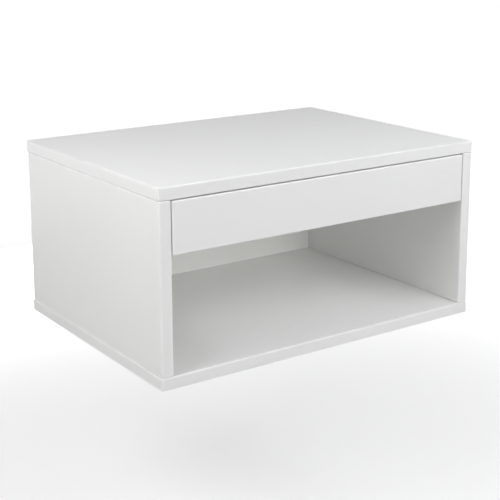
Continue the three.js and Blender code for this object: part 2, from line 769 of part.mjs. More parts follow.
// The drawer member: a flange under the drawer side, a web beside it and a flange that runs
// out over the front roller.
function drawerMember(sign) {
  const section = runnerSection([
    [drawerWebNear, drawerMemberLow],
    [underFlangeEnd, drawerMemberLow],
    [underFlangeEnd, drawerMemberLow + runnerSteel],
    [drawerWebFar, drawerMemberLow + runnerSteel],
    [drawerWebFar, drawerMemberTop],
    [drawerFlangeStart, drawerMemberTop],
    [drawerFlangeStart, drawerMemberTop - runnerSteel],
    [drawerWebNear, drawerMemberTop - runnerSteel],
  ], sign, drawerLength);
  const outward = rightward.clone().multiplyScalar(sign);
  const axleHole = drill(
    point(-sign * drawerWebFar, rearRollerPlace - drawerRearEnd, rearRollerHeight), outward,
    runnerSteel + overrun / 2, axleDiameter + 2 * fitGap);
  const screwHoles = drawerScrewPlaces().map(([, place]) => drill(
    point(-sign * (runnerSpace + drawerScrewInset), place - drawerRearEnd, drawerMemberLow), upward,
    runnerSteel + overrun, runnerScrewDiameter + 2 * fitGap));
  return shape(section, { cutters: [axleHole, ...screwHoles] });
}

function roller(radius) {
  const bore = axleDiameter / 2 + fitGap;
  return turned([
    [bore, 0],
    [radius - rollerEdge, 0],
    [radius, rollerEdge],
    [radius, rollerWidth - rollerEdge],
    [radius - rollerEdge, rollerWidth],
    [bore, rollerWidth],
    [bore, 0],
  ], rollerSides);
}

// An axle from the board side of its web, with a collar before the roller and a head after it.
function rollerAxle() {
  const collarStart = runnerSteel + jointGap;
  const collarEnd = rollerStart - axleEndGap - seatGap;
  const headStart = rollerEnd + axleEndGap - seatGap;
  const headEnd = headStart + axleHeadThickness;
  return turned([
    [0, 0],
    [axleDiameter / 2, 0],
    [axleDiameter / 2, collarStart],
    [axleCollarDiameter / 2, collarStart],
    [axleCollarDiameter / 2, collarEnd],
    [axleDiameter / 2, collarEnd],
    [axleDiameter / 2, headStart],
    [axleCollarDiameter / 2, headStart],
    [axleCollarDiameter / 2, headEnd],
    [0, headEnd],
  ], screwSides);
}

function addRunner(side, sign) {
  const face = sign * innerHalf;
  const outward = rightward.clone().multiplyScalar(sign);
  const inward = outward.clone().negate();
  addPiece(
    carcass, `${side}_cabinet_runner`, whiteEnamel, cabinetMember(sign),
    point(face, channelRearEnd, 0));
  addPiece(
    drawer, `${side}_drawer_runner`, whiteEnamel, drawerMember(sign),
    point(face, drawerRearEnd, 0));
  addPiece(
    carcass, `${side}_front_roller`, whiteNylon, roller(frontRollerRadius),
    point(face - sign * rollerStart, frontRollerPlace, frontRollerHeight), inward, upward);
  addPiece(
    carcass, `${side}_front_roller_axle`, platedSteel, rollerAxle(),
    point(face - sign * seatGap, frontRollerPlace, frontRollerHeight), inward, upward);
  addPiece(
    drawer, `${side}_rear_roller`, whiteNylon, roller(rearRollerRadius),
    point(face - sign * rollerEnd, rearRollerPlace, rearRollerHeight), outward, upward);
  addPiece(
    drawer, `${side}_rear_roller_axle`, platedSteel, rollerAxle(),
    point(face - sign * drawerWebFar, rearRollerPlace, rearRollerHeight), outward, upward);
  for (const [end, place] of cabinetScrewPlaces()) {
    addPiece(
      carcass, `${side}_cabinet_runner_${end}_screw`, platedSteel, runnerScrew(),
      point(face - sign * cabinetScrewFace, place, cabinetScrewHeight), outward, upward);
  }
  for (const [end, place] of drawerScrewPlaces()) {
    addPiece(
      drawer, `${side}_drawer_runner_${end}_screw`, platedSteel, runnerScrew(),
      point(
        face - sign * (runnerSpace + drawerScrewInset), place,
        drawerMemberLow - jointGap - runnerScrewHeadHeight));
  }
}

addTopPanel();
addBottomPanel();
addBackPanel();
addDrawerFront();
addDrawerBack();
addDrawerBottom();
for (const [side, sign] of sides) {
  addSidePanel(side, sign);
  addHanger(side, sign);
  addDrawerSide(side, sign);
  addRunner(side, sign);
}

const nightstand = new THREE.Group();
nightstand.add(carcass, drawer);
nightstand.position.z = -hangHeight;

export default nightstand;
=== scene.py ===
import json
from math import atan2, cos, pi, radians, sin, sqrt

import bpy
from mathutils import Matrix, Vector

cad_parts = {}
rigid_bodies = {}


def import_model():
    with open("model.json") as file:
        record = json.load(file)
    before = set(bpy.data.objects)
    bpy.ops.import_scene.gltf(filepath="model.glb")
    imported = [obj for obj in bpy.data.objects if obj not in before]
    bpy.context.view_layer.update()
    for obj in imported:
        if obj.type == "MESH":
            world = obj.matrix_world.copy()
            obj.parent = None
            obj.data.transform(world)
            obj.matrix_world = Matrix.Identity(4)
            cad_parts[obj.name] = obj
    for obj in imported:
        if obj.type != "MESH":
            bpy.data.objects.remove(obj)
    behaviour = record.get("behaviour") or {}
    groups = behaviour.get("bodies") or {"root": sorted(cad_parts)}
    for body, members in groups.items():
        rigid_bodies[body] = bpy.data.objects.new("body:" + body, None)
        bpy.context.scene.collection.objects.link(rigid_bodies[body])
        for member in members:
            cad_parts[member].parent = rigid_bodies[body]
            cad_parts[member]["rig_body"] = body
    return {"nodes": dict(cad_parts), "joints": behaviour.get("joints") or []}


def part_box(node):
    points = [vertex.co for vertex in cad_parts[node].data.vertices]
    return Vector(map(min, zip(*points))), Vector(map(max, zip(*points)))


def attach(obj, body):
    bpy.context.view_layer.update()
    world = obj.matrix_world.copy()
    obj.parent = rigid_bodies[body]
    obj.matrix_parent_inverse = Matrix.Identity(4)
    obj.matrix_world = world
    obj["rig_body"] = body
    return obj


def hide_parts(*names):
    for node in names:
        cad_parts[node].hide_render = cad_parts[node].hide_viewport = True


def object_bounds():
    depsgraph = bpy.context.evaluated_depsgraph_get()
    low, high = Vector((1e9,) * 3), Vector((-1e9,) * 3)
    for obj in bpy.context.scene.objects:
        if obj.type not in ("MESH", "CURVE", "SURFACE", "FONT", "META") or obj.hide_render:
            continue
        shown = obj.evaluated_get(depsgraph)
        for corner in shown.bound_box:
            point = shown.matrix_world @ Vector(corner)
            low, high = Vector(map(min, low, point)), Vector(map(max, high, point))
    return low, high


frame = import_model()  # bodies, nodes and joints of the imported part
cadLow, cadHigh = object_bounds()
print("frame loaded:", len(frame["nodes"]), "nodes")

# A wall-hung nightstand in white satin lacquer. Metres, +Z up, -Y towards the user.
# Each piece takes its place from the box of the node that it stands for.

mm = 0.001
sides = {"left": -1, "right": 1}  # each with the sign of its X


def addObject(operator, name, **settings):
    # runs an operator that adds an object, with nothing else selected
    bpy.ops.object.select_all(action="DESELECT")
    operator(**settings)
    added = bpy.context.object
    added.name = name
    return added


# Camera, at the photograph's viewing angle

photoCamera = {
    "place": (-0.8891, -1.477, 0.3503),
    "turn": 34.57,  # degrees to the right of straight ahead
    "tilt": 12.23,  # degrees down
    "roll": -0.2,
    "lens": 83.0,
    "shift": -0.16,  # keeps the uprights nearly upright in the picture
    "nearest": 0.01,
}


def addCamera(values):
    turn, tilt = radians(values["turn"]), radians(values["tilt"])
    ahead = Vector((sin(turn) * cos(tilt), cos(turn) * cos(tilt), -sin(tilt)))
    camera = addObject(bpy.ops.object.camera_add, "photoCamera", location=values["place"])
    camera.rotation_mode = "QUATERNION"
    roll = Matrix.Rotation(radians(values["roll"]), 3, "Z").to_quaternion()
    camera.rotation_quaternion = ahead.to_track_quat("-Z", "Y") @ roll
    camera.data.lens = values["lens"]
    camera.data.shift_y = values["shift"]
    camera.data.clip_start = values["nearest"]
    bpy.context.scene.camera = camera


addCamera(photoCamera)
print("camera placed")

# Shader groups shared by the finishes

noiseRange = (0.35, 0.65)  # where most of a noise lies
coarse, medium, fine = 2.0, 3.0, 4.0  # detail of a noise
leastEdgeMark = 0.25  # share of the edge mark that is left between its patches: wear on metal and enamel, a painted highlight on the lacquer and foil boards


def emptyTree(owner):
    owner.use_nodes = True
    owner.node_tree.nodes.clear()
    return owner.node_tree


def addNode(tree, kind, settings={}, inputs={}):
    # an input gets a value, or a link from the socket that is given for it
    node = tree.nodes.new(kind)
    for key, value in settings.items():
        setattr(node, key, value)
    for key, value in inputs.items():
        if isinstance(value, bpy.types.NodeSocket):
            tree.links.new(value, node.inputs[key])
        else:
            node.inputs[key].default_value = value
    return node


def addMath(tree, operation, first, second):
    return addNode(tree, "ShaderNodeMath", {"operation": operation}, {0: first, 1: second}).outputs[0]


def addRange(tree, value, span, low, high, curve="LINEAR"):
    # the values of a span, spread from low to high
    node = addNode(tree, "ShaderNodeMapRange", {"interpolation_type": curve}, {
        "Value": value, "From Min": span[0], "From Max": span[1], "To Min": low, "To Max": high})
    return node.outputs["Result"]


def newGroup(name, inputs, outputs):
    group = bpy.data.node_groups.new(name, "ShaderNodeTree")
    for label, kind, value in inputs:
        socket = group.interface.new_socket(name=label, in_out="INPUT", socket_type=kind)
        if value is not None:
            socket.default_value = value
    for label, kind in outputs:
        group.interface.new_socket(name=label, in_out="OUTPUT", socket_type=kind)
    return group, group.nodes.new("NodeGroupInput"), group.nodes.new("NodeGroupOutput")


def makeUnevenness():
    # soft noise whose blotches are about Size metres wide
    group, given, result = newGroup("unevenness", [
        ("Coordinates", "NodeSocketVector", None),
        ("Size", "NodeSocketFloat", 0.01),
        ("Detail", "NodeSocketFloat", coarse),
    ], [("Value", "NodeSocketFloat")])
    scale = addMath(group, "DIVIDE", 1.0, given.outputs["Size"])
    noise = addNode(group, "ShaderNodeTexNoise", {}, {
        "Vector": given.outputs["Coordinates"], "Scale": scale, "Detail": given.outputs["Detail"],
        "Roughness": 0.5})
    group.links.new(noise.outputs["Fac"], result.inputs["Value"])
    return group


def makePatchyEdgeWearAndHighlight():
    # breaks up the edge mark into patches: on metal and enamel it is wear from handling, on the lacquer
    # and foil boards a lighter colour, a painted highlight
    group, given, result = newGroup("patchyEdgeWearAndHighlight", [
        ("Edge", "NodeSocketFloat", 0.0),
        ("Coordinates", "NodeSocketVector", None),
        ("Size", "NodeSocketFloat", 0.02),
        ("Amount", "NodeSocketFloat", 1.0),
    ], [("Mask", "NodeSocketFloat")])
    patches = addNode(group, "ShaderNodeGroup", {"node_tree": unevenness}, {
        "Coordinates": given.outputs["Coordinates"], "Size": given.outputs["Size"], "Detail": medium})
    edgePatches = addRange(group, patches.outputs["Value"], noiseRange, leastEdgeMark, 1.0, "SMOOTHSTEP")
    onEdge = addMath(group, "MULTIPLY", edgePatches, given.outputs["Edge"])
    strength = addMath(group, "MULTIPLY", onEdge, given.outputs["Amount"])
    group.links.new(strength, result.inputs["Mask"])
    return group


def makeStreaks():
    # fine lines along one axis: brush marks, rolling marks and light scratches
    group, given, result = newGroup("streaks", [
        ("Coordinates", "NodeSocketVector", None),
        ("Stretch", "NodeSocketVector", (1.0, 1.0, 1.0)),
        ("Size", "NodeSocketFloat", 0.001),
    ], [("Value", "NodeSocketFloat")])
    squeeze = addNode(group, "ShaderNodeVectorMath", {"operation": "MULTIPLY"}, {
        0: given.outputs["Coordinates"], 1: given.outputs["Stretch"]})
    lines = addNode(group, "ShaderNodeGroup", {"node_tree": unevenness}, {
        "Coordinates": squeeze.outputs["Vector"], "Size": given.outputs["Size"], "Detail": fine})
    group.links.new(lines.outputs["Value"], result.inputs["Value"])
    return group


unevenness = makeUnevenness()
patchyEdgeWearAndHighlight = makePatchyEdgeWearAndHighlight()
streaks = makeStreaks()

# Finishes. Each takes one of the record's slots.


class Finish:
    # one material with its look and its shader, and short ways to feed the shader's sockets

    def __init__(self, name, slot, look):
        self.slot = slot
        self.look = look
        self.material = bpy.data.materials.new(name)
        self.tree = emptyTree(self.material)
        self.shader = addNode(self.tree, "ShaderNodeBsdfPrincipled", {}, look["shader"])
        addNode(self.tree, "ShaderNodeOutputMaterial", {}, {"Surface": self.shader.outputs[0]})
        self.place = addNode(self.tree, "ShaderNodeTexCoord").outputs["Object"]

    def noise(self, size, detail=coarse):
        node = addNode(self.tree, "ShaderNodeGroup", {"node_tree": unevenness}, {
            "Coordinates": self.place, "Size": size, "Detail": detail})
        return node.outputs["Value"]

    def lines(self, size, stretch):
        node = addNode(self.tree, "ShaderNodeGroup", {"node_tree": streaks}, {
            "Coordinates": self.place, "Size": size, "Stretch": stretch})
        return node.outputs["Value"]

    def edges(self):
        mark = addNode(self.tree, "ShaderNodeAttribute", {"attribute_name": "edgeWearAndHighlight"})
        node = addNode(self.tree, "ShaderNodeGroup", {"node_tree": patchyEdgeWearAndHighlight}, {
            "Edge": mark.outputs["Fac"], "Coordinates": self.place,
            "Size": self.look["edgePatchSize"], "Amount": self.look["edgeMarkAmount"]})
        return node.outputs["Mask"]

    def spread(self, value, low, high, span=noiseRange):
        return addRange(self.tree, value, span, low, high)

    def blend(self, share, first, second):
        # a colour mix has its colours at inputs 6 and 7 and its result at output 2
        first, second = ((*end, 1.0) if isinstance(end, tuple) else end for end in (first, second))
        node = addNode(self.tree, "ShaderNodeMix", {"data_type": "RGBA"}, {
            "Factor": share, 6: first, 7: second})
        return node.outputs[2]

    def patched(self):
        # the main colour, with soft patches of a second one
        share = self.spread(self.noise(self.look["patchSize"], medium), 0.0, 1.0)
        return self.blend(share, self.look["colour"], self.look["patchColour"])

    def relief(self, *layers):
        # stacks bumps, each a height and its depth in metres
        below = {}
        for height, depth in layers:
            bump = addNode(self.tree, "ShaderNodeBump", {}, {
                "Strength": 1.0, "Distance": depth, "Height": height, **below})
            below = {"Normal": bump.outputs["Normal"]}
        self.feed("Normal", below["Normal"])

    def roughen(self, value):
        self.feed("Roughness", self.spread(value, *self.look["roughness"]))

    def feed(self, socket, value):
        self.tree.links.new(value, self.shader.inputs[socket])


lacquerLook = {
    "shader": {"IOR": 1.5},
    "colour": (0.885, 0.885, 0.873),
    "patchColour": (0.877, 0.877, 0.864),
    # lighter colour on the rounded edges: a painted highlight
    "edgeColour": (0.93, 0.93, 0.925),
    "edgePatchSize": 25 * mm,
    "edgeMarkAmount": 0.8,
    "roughness": (0.30, 0.34),
    "edgeRoughness": -0.015,
    "patchSize": 90 * mm,
    "smudgeSize": 35 * mm,
    "peelSize": 2.4 * mm,  # orange peel of the sprayed lacquer
    "peelDepth": 0.006 * mm,
    "waveSize": 30 * mm,
    "waveDepth": 0.015 * mm,
}


def makeLacquer(look):
    finish = Finish("whiteSatinLacquer", "white_lacquer", look)
    edge = finish.edges()
    # the rounded edges are painted lighter in patches, a painted highlight
    finish.feed("Base Color", finish.blend(edge, finish.patched(), look["edgeColour"]))
    smudges = finish.spread(finish.noise(look["smudgeSize"], fine), *look["roughness"])
    polish = addMath(finish.tree, "MULTIPLY", edge, look["edgeRoughness"])
    finish.feed("Roughness", addMath(finish.tree, "ADD", smudges, polish))
    finish.relief(
        (finish.noise(look["waveSize"]), look["waveDepth"]),
        (finish.noise(look["peelSize"]), look["peelDepth"]))
    return finish


foilLook = {
    "shader": {"IOR": 1.48},
    "colour": (0.84, 0.84, 0.825),
    "patchColour": (0.82, 0.82, 0.805),
    # lighter colour on the rounded edges: a painted highlight
    "edgeColour": (0.87, 0.87, 0.86),
    "edgePatchSize": 15 * mm,
    "edgeMarkAmount": 0.7,
    "patchSize": 60 * mm,
    "roughness": (0.44, 0.54),
    "poreSize": 0.9 * mm,
    "poreDepth": 0.012 * mm,
    "grainSize": 2.5 * mm,
}


def makeFoil(look):
    finish = Finish("whiteFoil", "white_foil", look)
    # the rounded edges are painted lighter in patches, a painted highlight
    finish.feed("Base Color", finish.blend(finish.edges(), finish.patched(), look["edgeColour"]))
    finish.roughen(finish.noise(look["grainSize"], fine))
    finish.relief((finish.noise(look["poreSize"], medium), look["poreDepth"]))
    return finish


beechLook = {
    "shader": {"IOR": 1.5},
    "colour": (0.63, 0.43, 0.24),
    "darkColour": (0.47, 0.29, 0.14),
    "fleckColour": (0.36, 0.2, 0.09),
    "fleckAmount": 0.6,
    "fleckRange": (0.55, 0.75),
    "ringSize": 3 * mm,
    "ringStretch": (1.0, 1.0, 0.08),  # long along the grain
    "fibreSize": 0.5 * mm,
    "fibreStretch": (1.0, 1.0, 0.06),
    "fibreDepth": 0.05 * mm,
    "roughness": (0.6, 0.8),
}


def makeBeech(look):
    finish = Finish("beechWood", "beech", look)
    rings = finish.lines(look["ringSize"], look["ringStretch"])
    fibres = finish.lines(look["fibreSize"], look["fibreStretch"])
    body = finish.blend(finish.spread(rings, 0.0, 1.0), look["colour"], look["darkColour"])
    flecks = finish.spread(fibres, 0.0, look["fleckAmount"], look["fleckRange"])
    finish.feed("Base Color", finish.blend(flecks, body, look["fleckColour"]))
    finish.roughen(fibres)
    finish.relief((fibres, look["fibreDepth"]))
    return finish


zincLook = {
    "shader": {"Metallic": 0.9},
    "colour": (0.50, 0.51, 0.525),
    "patchColour": (0.36, 0.365, 0.375),
    "brightColour": (0.64, 0.65, 0.66),
    "edgePatchSize": 2 * mm,
    "edgeMarkAmount": 0.9,
    "patchSize": 5 * mm,
    "roughness": (0.34, 0.52),
    "castSize": 1.1 * mm,
    "castDepth": 0.03 * mm,
}


def makeZinc(look):
    finish = Finish("castZinc", "cast_zinc", look)
    grain = finish.noise(look["castSize"], fine)
    finish.feed("Base Color", finish.blend(finish.edges(), finish.patched(), look["brightColour"]))
    finish.roughen(grain)
    finish.relief((grain, look["castDepth"]))
    return finish


steelLook = {
    "shader": {"Metallic": 1.0},
    "colour": (0.53, 0.535, 0.53),
    "coolColour": (0.45, 0.475, 0.52),
    "warmColour": (0.55, 0.525, 0.45),
    "brightColour": (0.66, 0.66, 0.655),
    "coolSize": 9 * mm,
    "coolAmount": 0.6,
    "coolRange": (0.45, 0.7),
    "warmSize": 6 * mm,
    "warmAmount": 0.4,
    "warmRange": (0.5, 0.75),
    "edgePatchSize": 3 * mm,
    "edgeMarkAmount": 0.9,
    "roughness": (0.29, 0.42),
    "lineSize": 0.35 * mm,  # rolling marks
    "lineStretch": (1.0, 1.0, 0.05),
    "lineDepth": 0.004 * mm,
}


def makeSteel(look):
    finish = Finish("platedSteel", "plated_steel", look)
    body = look["colour"]
    for tint in ("cool", "warm"):
        patches = finish.noise(look[f"{tint}Size"])
        share = finish.spread(patches, 0.0, look[f"{tint}Amount"], look[f"{tint}Range"])
        body = finish.blend(share, body, look[f"{tint}Colour"])
    finish.feed("Base Color", finish.blend(finish.edges(), body, look["brightColour"]))
    rolled = finish.lines(look["lineSize"], look["lineStretch"])
    finish.roughen(rolled)
    finish.relief((rolled, look["lineDepth"]))
    return finish


enamelLook = {
    "shader": {"IOR": 1.5},
    "colour": (0.77, 0.77, 0.755),
    "patchColour": (0.74, 0.74, 0.722),
    "edgeColour": (0.70, 0.70, 0.69),
    "scuffColour": (0.60, 0.60, 0.59),
    "edgePatchSize": 8 * mm,
    "edgeMarkAmount": 0.7,
    "patchSize": 25 * mm,
    "scuffSize": 0.8 * mm,
    "scuffStretch": (1.0, 0.03, 1.0),  # along the runner
    "scuffAmount": 0.5,
    "scuffRange": (0.6, 0.75),
    "smudgeSize": 12 * mm,
    "roughness": (0.32, 0.44),
    "peelSize": 1.1 * mm,
    "peelDepth": 0.014 * mm,
}


def makeEnamel(look):
    finish = Finish("whiteEnamel", "white_enamel", look)
    marks = finish.lines(look["scuffSize"], look["scuffStretch"])
    scuffs = finish.spread(marks, 0.0, look["scuffAmount"], look["scuffRange"])
    worn = finish.blend(scuffs, finish.patched(), look["scuffColour"])
    finish.feed("Base Color", finish.blend(finish.edges(), worn, look["edgeColour"]))
    finish.roughen(finish.noise(look["smudgeSize"], medium))
    finish.relief((finish.noise(look["peelSize"]), look["peelDepth"]))
    return finish


nylonLook = {
    "shader": {"IOR": 1.53, "Subsurface Weight": 0.15, "Subsurface Scale": 2 * mm},
    "colour": (0.73, 0.73, 0.69),
    "patchColour": (0.69, 0.69, 0.65),
    "patchSize": 4 * mm,
    "roughness": (0.38, 0.5),
    "grainSize": 0.5 * mm,
    "grainDepth": 0.006 * mm,
}


def makeNylon(look):
    finish = Finish("whiteNylon", "white_nylon", look)
    finish.feed("Base Color", finish.patched())
    grain = finish.noise(look["grainSize"], medium)
    finish.roughen(grain)
    finish.relief((grain, look["grainDepth"]))
    return finish


lacquer = makeLacquer(lacquerLook)
foil = makeFoil(foilLook)
beech = makeBeech(beechLook)
zinc = makeZinc(zincLook)
steel = makeSteel(steelLook)
enamel = makeEnamel(enamelLook)
nylon = makeNylon(nylonLook)
print("finishes made")

# Modelling helpers

overrun = 2 * mm  # how far a cutting tool passes the surface that it opens
fitGap = 0.25 * mm  # round a fastener in its hole
slack = 0.01 * mm  # within which two places count as the same
edgeShare = 1.05  # of an edge's radius, within which a point counts as part of the edge
facing = 0.9  # least part of its normal along an axis for a face that looks that way
flatFacing = 0.9999  # the same, for flat faces without the rounded strips beside them
alongX, alongY, alongZ = 0, 1, 2
boardSmoothing = 32  # degrees between faces, below which their edge is shaded round
flatWeight = 80  # above 50, the larger faces count more in that shading


def activate(piece):
    bpy.ops.object.select_all(action="DESELECT")
    piece.select_set(True)
    bpy.context.view_layer.objects.active = piece


def bakePlace(piece):
    # place, turn and size go into the mesh, and the object stays at the origin
    activate(piece)
    bpy.ops.object.transform_apply(location=True, rotation=True, scale=True)


def addCube(name, corner, opposite):
    corner, opposite = Vector(corner), Vector(opposite)
    piece = addObject(bpy.ops.mesh.primitive_cube_add, name, size=1, location=(corner + opposite) / 2)
    piece.scale = [abs(length) for length in opposite - corner]
    bakePlace(piece)
    return piece


def pickFaces(piece, test):
    # selects the faces whose centre and normal pass the test, in edit mode
    bpy.ops.mesh.select_mode(type="FACE")
    bpy.ops.mesh.select_all(action="DESELECT")
    bpy.ops.object.mode_set(mode="OBJECT")
    for face in piece.data.polygons:
        face.select = test(face.center, face.normal)
    bpy.ops.object.mode_set(mode="EDIT")


def pickEdges(piece, test):
    # selects the edges whose two ends pass the test, in edit mode
    bpy.ops.mesh.select_mode(type="EDGE")
    bpy.ops.mesh.select_all(action="DESELECT")
    bpy.ops.object.mode_set(mode="OBJECT")
    points = piece.data.vertices
    for edge in piece.data.edges:
        edge.select = test(points[edge.vertices[0]].co, points[edge.vertices[1]].co)
    bpy.ops.object.mode_set(mode="EDIT")


def applyModifier(piece, kind, **settings):
    activate(piece)
    modifier = piece.modifiers.new(kind.lower(), kind)
    for key, value in settings.items():
        setattr(modifier, key, value)
    bpy.ops.object.modifier_apply(modifier=modifier.name)


def cutWith(piece, tool):
    applyModifier(piece, "BOOLEAN", operation="DIFFERENCE", object=tool, solver="EXACT")
    bpy.data.objects.remove(tool)


def roundTool(start, end, startRadius, endRadius, toolSides=40):
    # a cylinder or cone between two points, to cut with
    start, end = Vector(start), Vector(end)
    along = end - start
    tool = addObject(
        bpy.ops.mesh.primitive_cone_add, "roundTool", vertices=toolSides, radius1=startRadius,
        radius2=endRadius, depth=along.length, location=(start + end) / 2,
        rotation=along.to_track_quat("Z", "Y").to_euler())
    bakePlace(tool)
    return tool


def slotTool(place, length, radius, front, rear, toolSides=42):
    # a round-ended slot below a place, drawn down from the lower half of a cylinder along Y
    tool = roundTool((place.x, front, place.z), (place.x, rear, place.z), radius, radius, toolSides)
    activate(tool)
    bpy.ops.object.mode_set(mode="EDIT")
    pickEdges(tool, lambda a, b: max(a.z, b.z) < place.z)
    bpy.ops.transform.translate(value=(0, 0, -length))
    bpy.ops.object.mode_set(mode="OBJECT")
    return tool


def centreOf(node):
    low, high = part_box(node)
    return (low + high) / 2


def boreAt(piece, node, axis, start, end, diameter):
    # a round hole along one axis, through the middle of a fastener's node
    first, last = centreOf(node), centreOf(node)
    first[axis] = start
    last[axis] = end
    cutWith(piece, roundTool(first, last, diameter / 2, diameter / 2))


def boreFor(piece, node, axis, surface, into, diameter):
    # a blind hole from a surface, which ends just past the far end of a fastener's node
    low, high = (corner[axis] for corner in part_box(node))
    end = high + fitGap if into > 0 else low - fitGap
    boreAt(piece, node, axis, surface - into * overrun, end, diameter)


def softenEdges(piece, width, angle):
    applyModifier(
        piece, "BEVEL", width=width, segments=2, limit_method="ANGLE",
        angle_limit=radians(angle), use_clamp_overlap=True)


def smooth(piece, angle):
    # rounded strips shade smoothly and flat faces stay flat
    activate(piece)
    bpy.ops.object.shade_smooth_by_angle(angle=radians(angle))
    applyModifier(piece, "WEIGHTED_NORMAL", keep_sharp=True, weight=flatWeight)


def meshBox(piece):
    points = [point.co for point in piece.data.vertices]
    low = Vector([min(point[i] for point in points) for i in range(3)])
    high = Vector([max(point[i] for point in points) for i in range(3)])
    return low, high


def standFor(piece, node, finish):
    # the piece rides on its node's body, takes its finish and is shown in its place
    piece.data.materials.clear()
    piece.data.materials.append(finish.material)
    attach(piece, frame["nodes"][node]["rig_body"])
    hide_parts(node)


def copyTo(master, name, node, finish, axis, heading):
    # a copy of a fastener made along +Z, turned to an axis and centred on its node
    piece = master.copy()
    piece.data = master.data.copy()
    piece.name = name
    bpy.context.scene.collection.objects.link(piece)
    axis, heading = Vector(axis), Vector(heading)
    turn = Matrix((heading, axis.cross(heading), axis)).transposed()
    piece.data.transform(turn.to_4x4())
    low, high = meshBox(piece)
    piece.data.transform(Matrix.Translation(centreOf(node) - (low + high) / 2))
    standFor(piece, node, finish)


# Boards

boardShape = {
    "edgeRadius": 1.5 * mm,
    "edgeSegments": 5,
    "edgeMarkWidth": 2.5 * mm,  # how far an edge's painted highlight fades into the face
}
drawerBoardShape = {
    "edgeRadius": 0.8 * mm,
    "edgeSegments": 3,
    "edgeMarkWidth": 1.5 * mm,
}
sheetShape = {
    "edgeRadius": 0.3 * mm,
    "edgeSegments": 2,
    "edgeMarkWidth": 0.6 * mm,
}


def startBoard(name, node, shape):
    # a cube at the board's place, its edges rounded and a narrow border inset on each face
    piece = addCube(name, *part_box(node))
    bpy.ops.object.mode_set(mode="EDIT")
    bpy.ops.mesh.select_all(action="SELECT")
    bpy.ops.mesh.bevel(
        offset=shape["edgeRadius"], segments=shape["edgeSegments"], profile=0.5, affect="EDGES")
    pickFaces(piece, lambda centre, normal: max(abs(part) for part in normal) > flatFacing)
    bpy.ops.mesh.inset(thickness=shape["edgeMarkWidth"], use_individual=True)
    bpy.ops.object.mode_set(mode="OBJECT")
    return piece


def finishBoard(piece, node, shape, finish):
    # marks the rounded edges for the finish, which paints them lighter there: a painted highlight
    low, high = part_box(node)
    reach = shape["edgeRadius"] * edgeShare
    mark = piece.data.attributes.new("edgeWearAndHighlight", "FLOAT", "POINT")
    for point, value in zip(piece.data.vertices, mark.data):
        onFaces = sum(min(point.co[i] - low[i], high[i] - point.co[i]) < reach for i in range(3))
        value.value = 1.0 if onFaces > 1 else 0.0
    smooth(piece, boardSmoothing)
    standFor(piece, node, finish)


boltHoles = {
    "thread": 5 * mm + 2 * fitGap,
    "shank": 6.6 * mm + 2 * fitGap,
}
dowelHole = 8 * mm + 2 * fitGap
confirmatHoles = {
    "head": 10 * mm + 2 * fitGap,
    "headDepth": 3.5 * mm + fitGap,
    "shank": 7 * mm + 2 * fitGap,
    "thread": 5 * mm + 2 * fitGap,
}
camHole = 15 * mm + 2 * fitGap
drawerCamHole = 12 * mm + 2 * fitGap
screwHole = 3 * mm + 2 * fitGap


def addTopBoard():
    node = "top_panel"
    piece = startBoard("topBoard", node, boardShape)
    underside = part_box(node)[0].z
    for side in sides:
        for end in ("front", "rear"):
            boreFor(piece, f"{side}_{end}_cam_bolt", alongZ, underside, 1, boltHoles["thread"])
        for end in ("side", "back"):
            boreFor(piece, f"{side}_{end}_dowel", alongZ, underside, 1, dowelHole)
    finishBoard(piece, node, boardShape, lacquer)


def addBottomBoard():
    node = "bottom_panel"
    piece = startBoard("bottomBoard", node, boardShape)
    low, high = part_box(node)
    for side in sides:
        for end in ("front", "rear", "back"):
            screw = f"{side}_{end}_confirmat"
            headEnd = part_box(screw)[0].z + confirmatHoles["headDepth"]
            boreAt(piece, screw, alongZ, low.z - overrun, headEnd, confirmatHoles["head"])
            boreAt(piece, screw, alongZ, low.z - overrun, high.z + overrun, confirmatHoles["shank"])
    finishBoard(piece, node, boardShape, lacquer)


def addSideBoard(side, sign):
    node = f"{side}_side_panel"
    piece = startBoard(f"{side}SideBoard", node, boardShape)
    low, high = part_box(node)
    innerFace = low.x if sign > 0 else high.x
    for end in ("front", "rear"):
        boreFor(piece, f"{side}_{end}_cam_bolt", alongZ, high.z, -1, boltHoles["shank"])
        boreFor(piece, f"{side}_{end}_confirmat", alongZ, low.z, 1, confirmatHoles["thread"])
        boreFor(piece, f"{side}_{end}_cam_lock", alongX, innerFace, sign, camHole)
        boreFor(piece, f"{side}_cabinet_runner_{end}_screw", alongX, innerFace, sign, screwHole)
    boreFor(piece, f"{side}_side_dowel", alongZ, high.z, -1, dowelHole)
    finishBoard(piece, node, boardShape, lacquer)


keyholeDrop = 14 * mm  # from the wall screw's place down to the entry
keyholePocket = {
    "width": 16 * mm,
    "depth": 8 * mm,
    "screwHole": 3.5 * mm + 2 * fitGap,
}


def addBackBoard():
    node = "back_panel"
    piece = startBoard("backBoard", node, boardShape)
    low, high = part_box(node)
    radius = keyholePocket["width"] / 2
    floorY = high.y - keyholePocket["depth"]
    for side in sides:
        boreFor(piece, f"{side}_back_dowel", alongZ, high.z, -1, dowelHole)
        boreFor(piece, f"{side}_back_confirmat", alongZ, low.z, 1, confirmatHoles["thread"])
        upper = centreOf(f"{side}_hanger_plate") + Vector((0, 0, keyholeDrop / 2))
        cutWith(piece, slotTool(upper, keyholeDrop, radius, floorY, high.y + overrun))
        for end in ("upper", "lower"):
            boreFor(piece, f"{side}_hanger_{end}_screw", alongY, high.y, -1, keyholePocket["screwHole"])
    finishBoard(piece, node, boardShape, lacquer)


# Drawer

groove = {
    "endGap": 0.5 * mm,
    "depth": 4 * mm,
}


